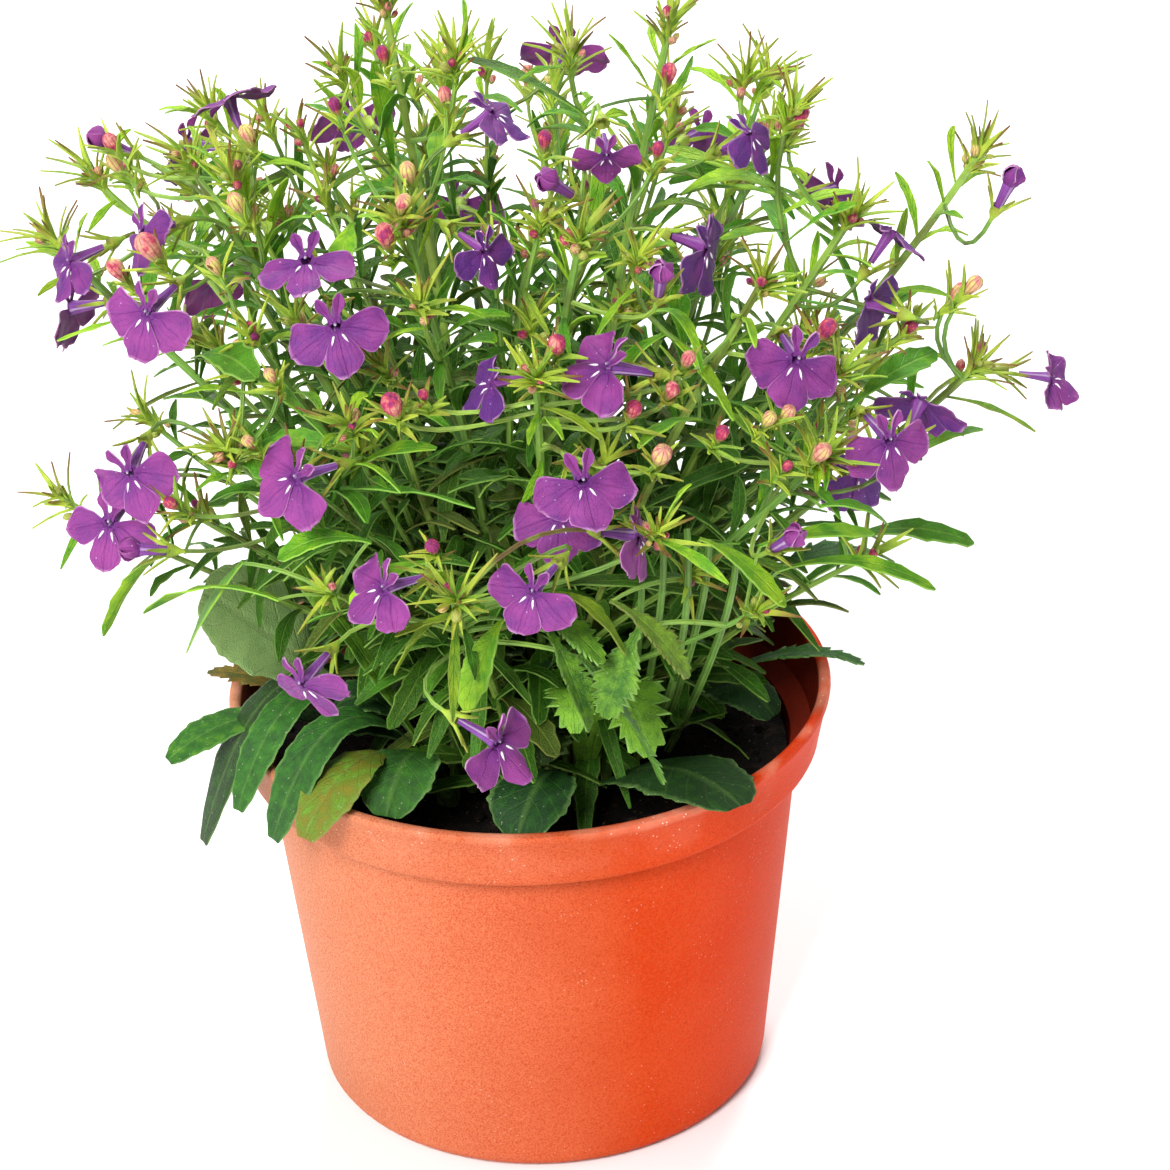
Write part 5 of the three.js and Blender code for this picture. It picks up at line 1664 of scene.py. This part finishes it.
# Basal leaves with a look of their own, by bearing: age with painted light and shade, red tinge, yellowing.
BASAL_LOOKS = {
    -40: (0.4, 0.15, 0.65), -90: (0.8, 0.6, 1.0), -55: (0.1, 0, 0), 22: (0.0, 0, 0), 9: (0.0, 0, 0),
    -70: (0.52, 0, 0), -58: (0.6, 0, 0), -49: (0.72, 0, 0), -66: (1.0, 0.1, 0), -30: (0.68, 0.05, 0),
    34: (1.0, 0.05, 0), -3: (0.97, 0, 0), -60: (1.0, 0, 0), 74: (1.0, 0, 0), -75: (0.1, 0, 0),
    80: (0.6, 0, 0),
}
WIDER_LEAVES = {-49: 1.45, -58: 0.95, -70: 1.2, -55: 1.15, 34: 1.12, 22: 1.15, 9: 1.15}
# PALE_LEAF takes the pale skin: its own grey-green, lightened with painted light where it lies in shade
LONG_LEAVES, PALE_LEAF = (-49, -58, -70, -55), -75

# Basal blades: [share of the length, share of half the width].
ROUND_BLADE = [[0, 0.12], [0.4, 0.14], [0.46, 0.4], [0.53, 0.74], [0.62, 0.95], [0.72, 1.02], [0.82, 1.0],
               [0.9, 0.86], [0.95, 0.68], [0.98, 0.45], [1, 0.2]]
WIDE_BLADE = [[0, 0.15], [0.16, 0.3], [0.3, 0.7], [0.45, 0.96], [0.6, 1.02], [0.78, 1.0], [0.88, 0.86],
              [0.94, 0.68], [0.98, 0.42], [1, 0.18]]
LONG_BLADE = [[0, 0.16], [0.22, 0.26], [0.4, 0.62], [0.58, 0.9], [0.72, 1.0], [0.84, 0.96], [0.92, 0.78],
              [0.97, 0.52], [1, 0.2]]
SHARP_BLADE = [[0, 0.14], [0.28, 0.24], [0.42, 0.66], [0.56, 1.0], [0.7, 1.1], [0.82, 0.94], [0.93, 0.62],
               [1, 0.1]]
# Rows of half-widths from a leaf's foot to its tip.
NEEDLE_ROWS = [0.5, 1.0, 0.9, 0.65, 0.16]
NARROW_ROWS = [0.16, 0.34, 0.55, 0.8, 0.94, 1.06, 0.86, 0.62, 0.16]
TOOTHED_ROWS = [0.2, 0.2, 0.28, 0.42, 0.6, 0.82, 0.86, 1.06, 0.92, 1.04, 0.76, 0.58, 0.08]
TONGUE_ROWS = [0.12, 0.12, 0.14, 0.18, 0.28, 0.46, 0.72, 0.74, 0.98, 0.86, 1.04, 0.8, 0.9, 0.6, 0.5, 0.1]
# Rings of [radius, height].
CROWN_RINGS = [[0.9, 0], [1, 2], [1.05, 5], [1.15, 7], [0.9, 8.4], [0.4, 9]]
SMALL_BUD_RINGS = [[0.35, 0], [0.9, 0.8], [1.12, 1.9], [0.9, 2.8], [0.25, 3.4]]
TWIG_BUD_RINGS = [[0.5, -1], [0.9, 0.2], [1.35, 1.6], [1.7, 3.0], [1.6, 4.0], [1.0, 4.8], [0.3, 5.1]]


def unit_stem(name, skin, sides, rows):
    """A ribbed stem of unit radius, as long as a leaf is, to be laid along a curve."""
    rings = [[1, LEAF_LONG * i / rows] for i in range(rows + 1)]
    return spindle(name, skin, sides, rings, sides // 2, 0.16)


def leaf_shapes():
    """Every leaf that is copied, with the pale skin that paints light onto one shaded basal leaf."""
    green = leaf_skin("lobelia_leaf", ((0.34, 0.56, 0.022), (0.055, 0.24, 0.008), (0.007, 0.056, 0.004)),
                      (0.28, 0.48, 0.07), (0.15, 0.36, 0.03), 7.0, 1.2, 0.35, 0.4)
    basal = leaf_skin("basal_leaf", ((0.22, 0.46, 0.030), (0.034, 0.150, 0.014), (0.005, 0.030, 0.006)),
                      (0.17, 0.32, 0.07), (0.05, 0.13, 0.04), 9.0, 1.8, 0.7, 0.5, 0.22, 420.0, 0.42)
    # pale skin: grey-green, lightened further as painted light for a leaf that lies in shade
    pale = leaf_skin("pale_leaf", ((0.30, 0.46, 0.15), (0.18, 0.35, 0.09), (0.09, 0.21, 0.05)),
                     (0.30, 0.42, 0.16), (0.32, 0.44, 0.20), 9.0, 1.8, 0.5, 0.5, 0.3, 300.0, 0.6)
    return pale, dict(
        narrow_leaf=leaf_shape("narrow_leaf", green, 2, NARROW_ROWS),
        toothed_leaf=leaf_shape("toothed_leaf", green, 2, TOOTHED_ROWS, (5, 7, 9, 11)),
        tongue=leaf_shape("tongue", basal, 4, TONGUE_ROWS, (6, 8, 10, 12), pucker=0.12),
        blunt_leaf=basal_leaf("blunt_leaf", basal, ROUND_BLADE, 0.1, 0.14),
        wide_leaf=basal_leaf("wide_leaf", basal, WIDE_BLADE, 0.11, 0.16),
        long_leaf=basal_leaf("long_leaf", basal, LONG_BLADE, 0.15, 0.26),
        sharp_leaf=basal_leaf("sharp_leaf", basal, SHARP_BLADE, 0.3, 0.34, rounded=0),
        crown=spindle("crown", basal, 12, CROWN_RINGS),
    )


def stem_shapes():
    green, bract = stem_skin(), bract_skin()
    needle = leaf_shape("needle", bract, 2, NEEDLE_ROWS, keel=0.2)
    return dict(
        needle=needle,
        stem=unit_stem("stem", green, 10, 18),
        thin_stem=unit_stem("thin_stem", green, 6, 14),
        stalk=unit_stem("stalk", green, 6, 6),
        hair=spindle("hair", bract, 3, [[1, 0], [0.2, 1]]),
        calyx=calyx(needle, bract),
    )


def bud_and_flower_shapes():
    red, petal, tube, white, stamen = bud_skin(), petal_skin(), tube_skin(), throat_white(), stamen_skin()
    return dict(
        bud=closed_bud(red),
        small_bud=spindle("small_bud", red, 6, SMALL_BUD_RINGS),
        twig_bud=spindle("twig_bud", red, 10, TWIG_BUD_RINGS, 5, 0.12),
        opening_bud=opening_bud(tube, petal),
        full_flower=flower(tube, petal, white, stamen, (0, 0.04, 0)),
        uneven_flower=flower(tube, petal, white, stamen, (0.02, 0.16, 0.1)),
        gapped_flower=flower(tube, petal, white, stamen, (0.2, 0.24, 0.16)),
    )


rosettes, stems = grow_rosettes(), grow_stems()
blooms = grow_flowers(stems)
grow_buds(stems)
grow_tufts(stems)
grow_leaves(stems)
faces = sight_lines(blooms)
growth = {"thin stems": grow_more_stems(stems, faces, 62), "bare stems": grow_bare_stems(stems)}
faces += [(one["curve"].at(t), TOWARDS_VIEW) for one in growth["bare stems"] for t in (0.3, 0.45, 0.6, 0.75)]
tongues = grow_tongues(44, faces)
growth["twigs"] = grow_twigs(stems)
growth["single leaves"] = grow_single_leaves(stems + growth["thin stems"])

pale_green, shapes = leaf_shapes()
shapes.update(stem_shapes())
shapes.update(bud_and_flower_shapes())
moulded_pot(pot_plastic())
crumbled_soil(compost())
for index, rosette in enumerate(rosettes):
    dressed_rosette(rosette, shapes, tongues[index :: len(rosettes)], pale_green)
for stem in stems:
    dressed_stem(stem, shapes, growth, faces)
for index, bloom in enumerate(blooms):
    dressed_flower(bloom, shapes, index)
removed(*shapes.values())

set_camera()
set_studio()
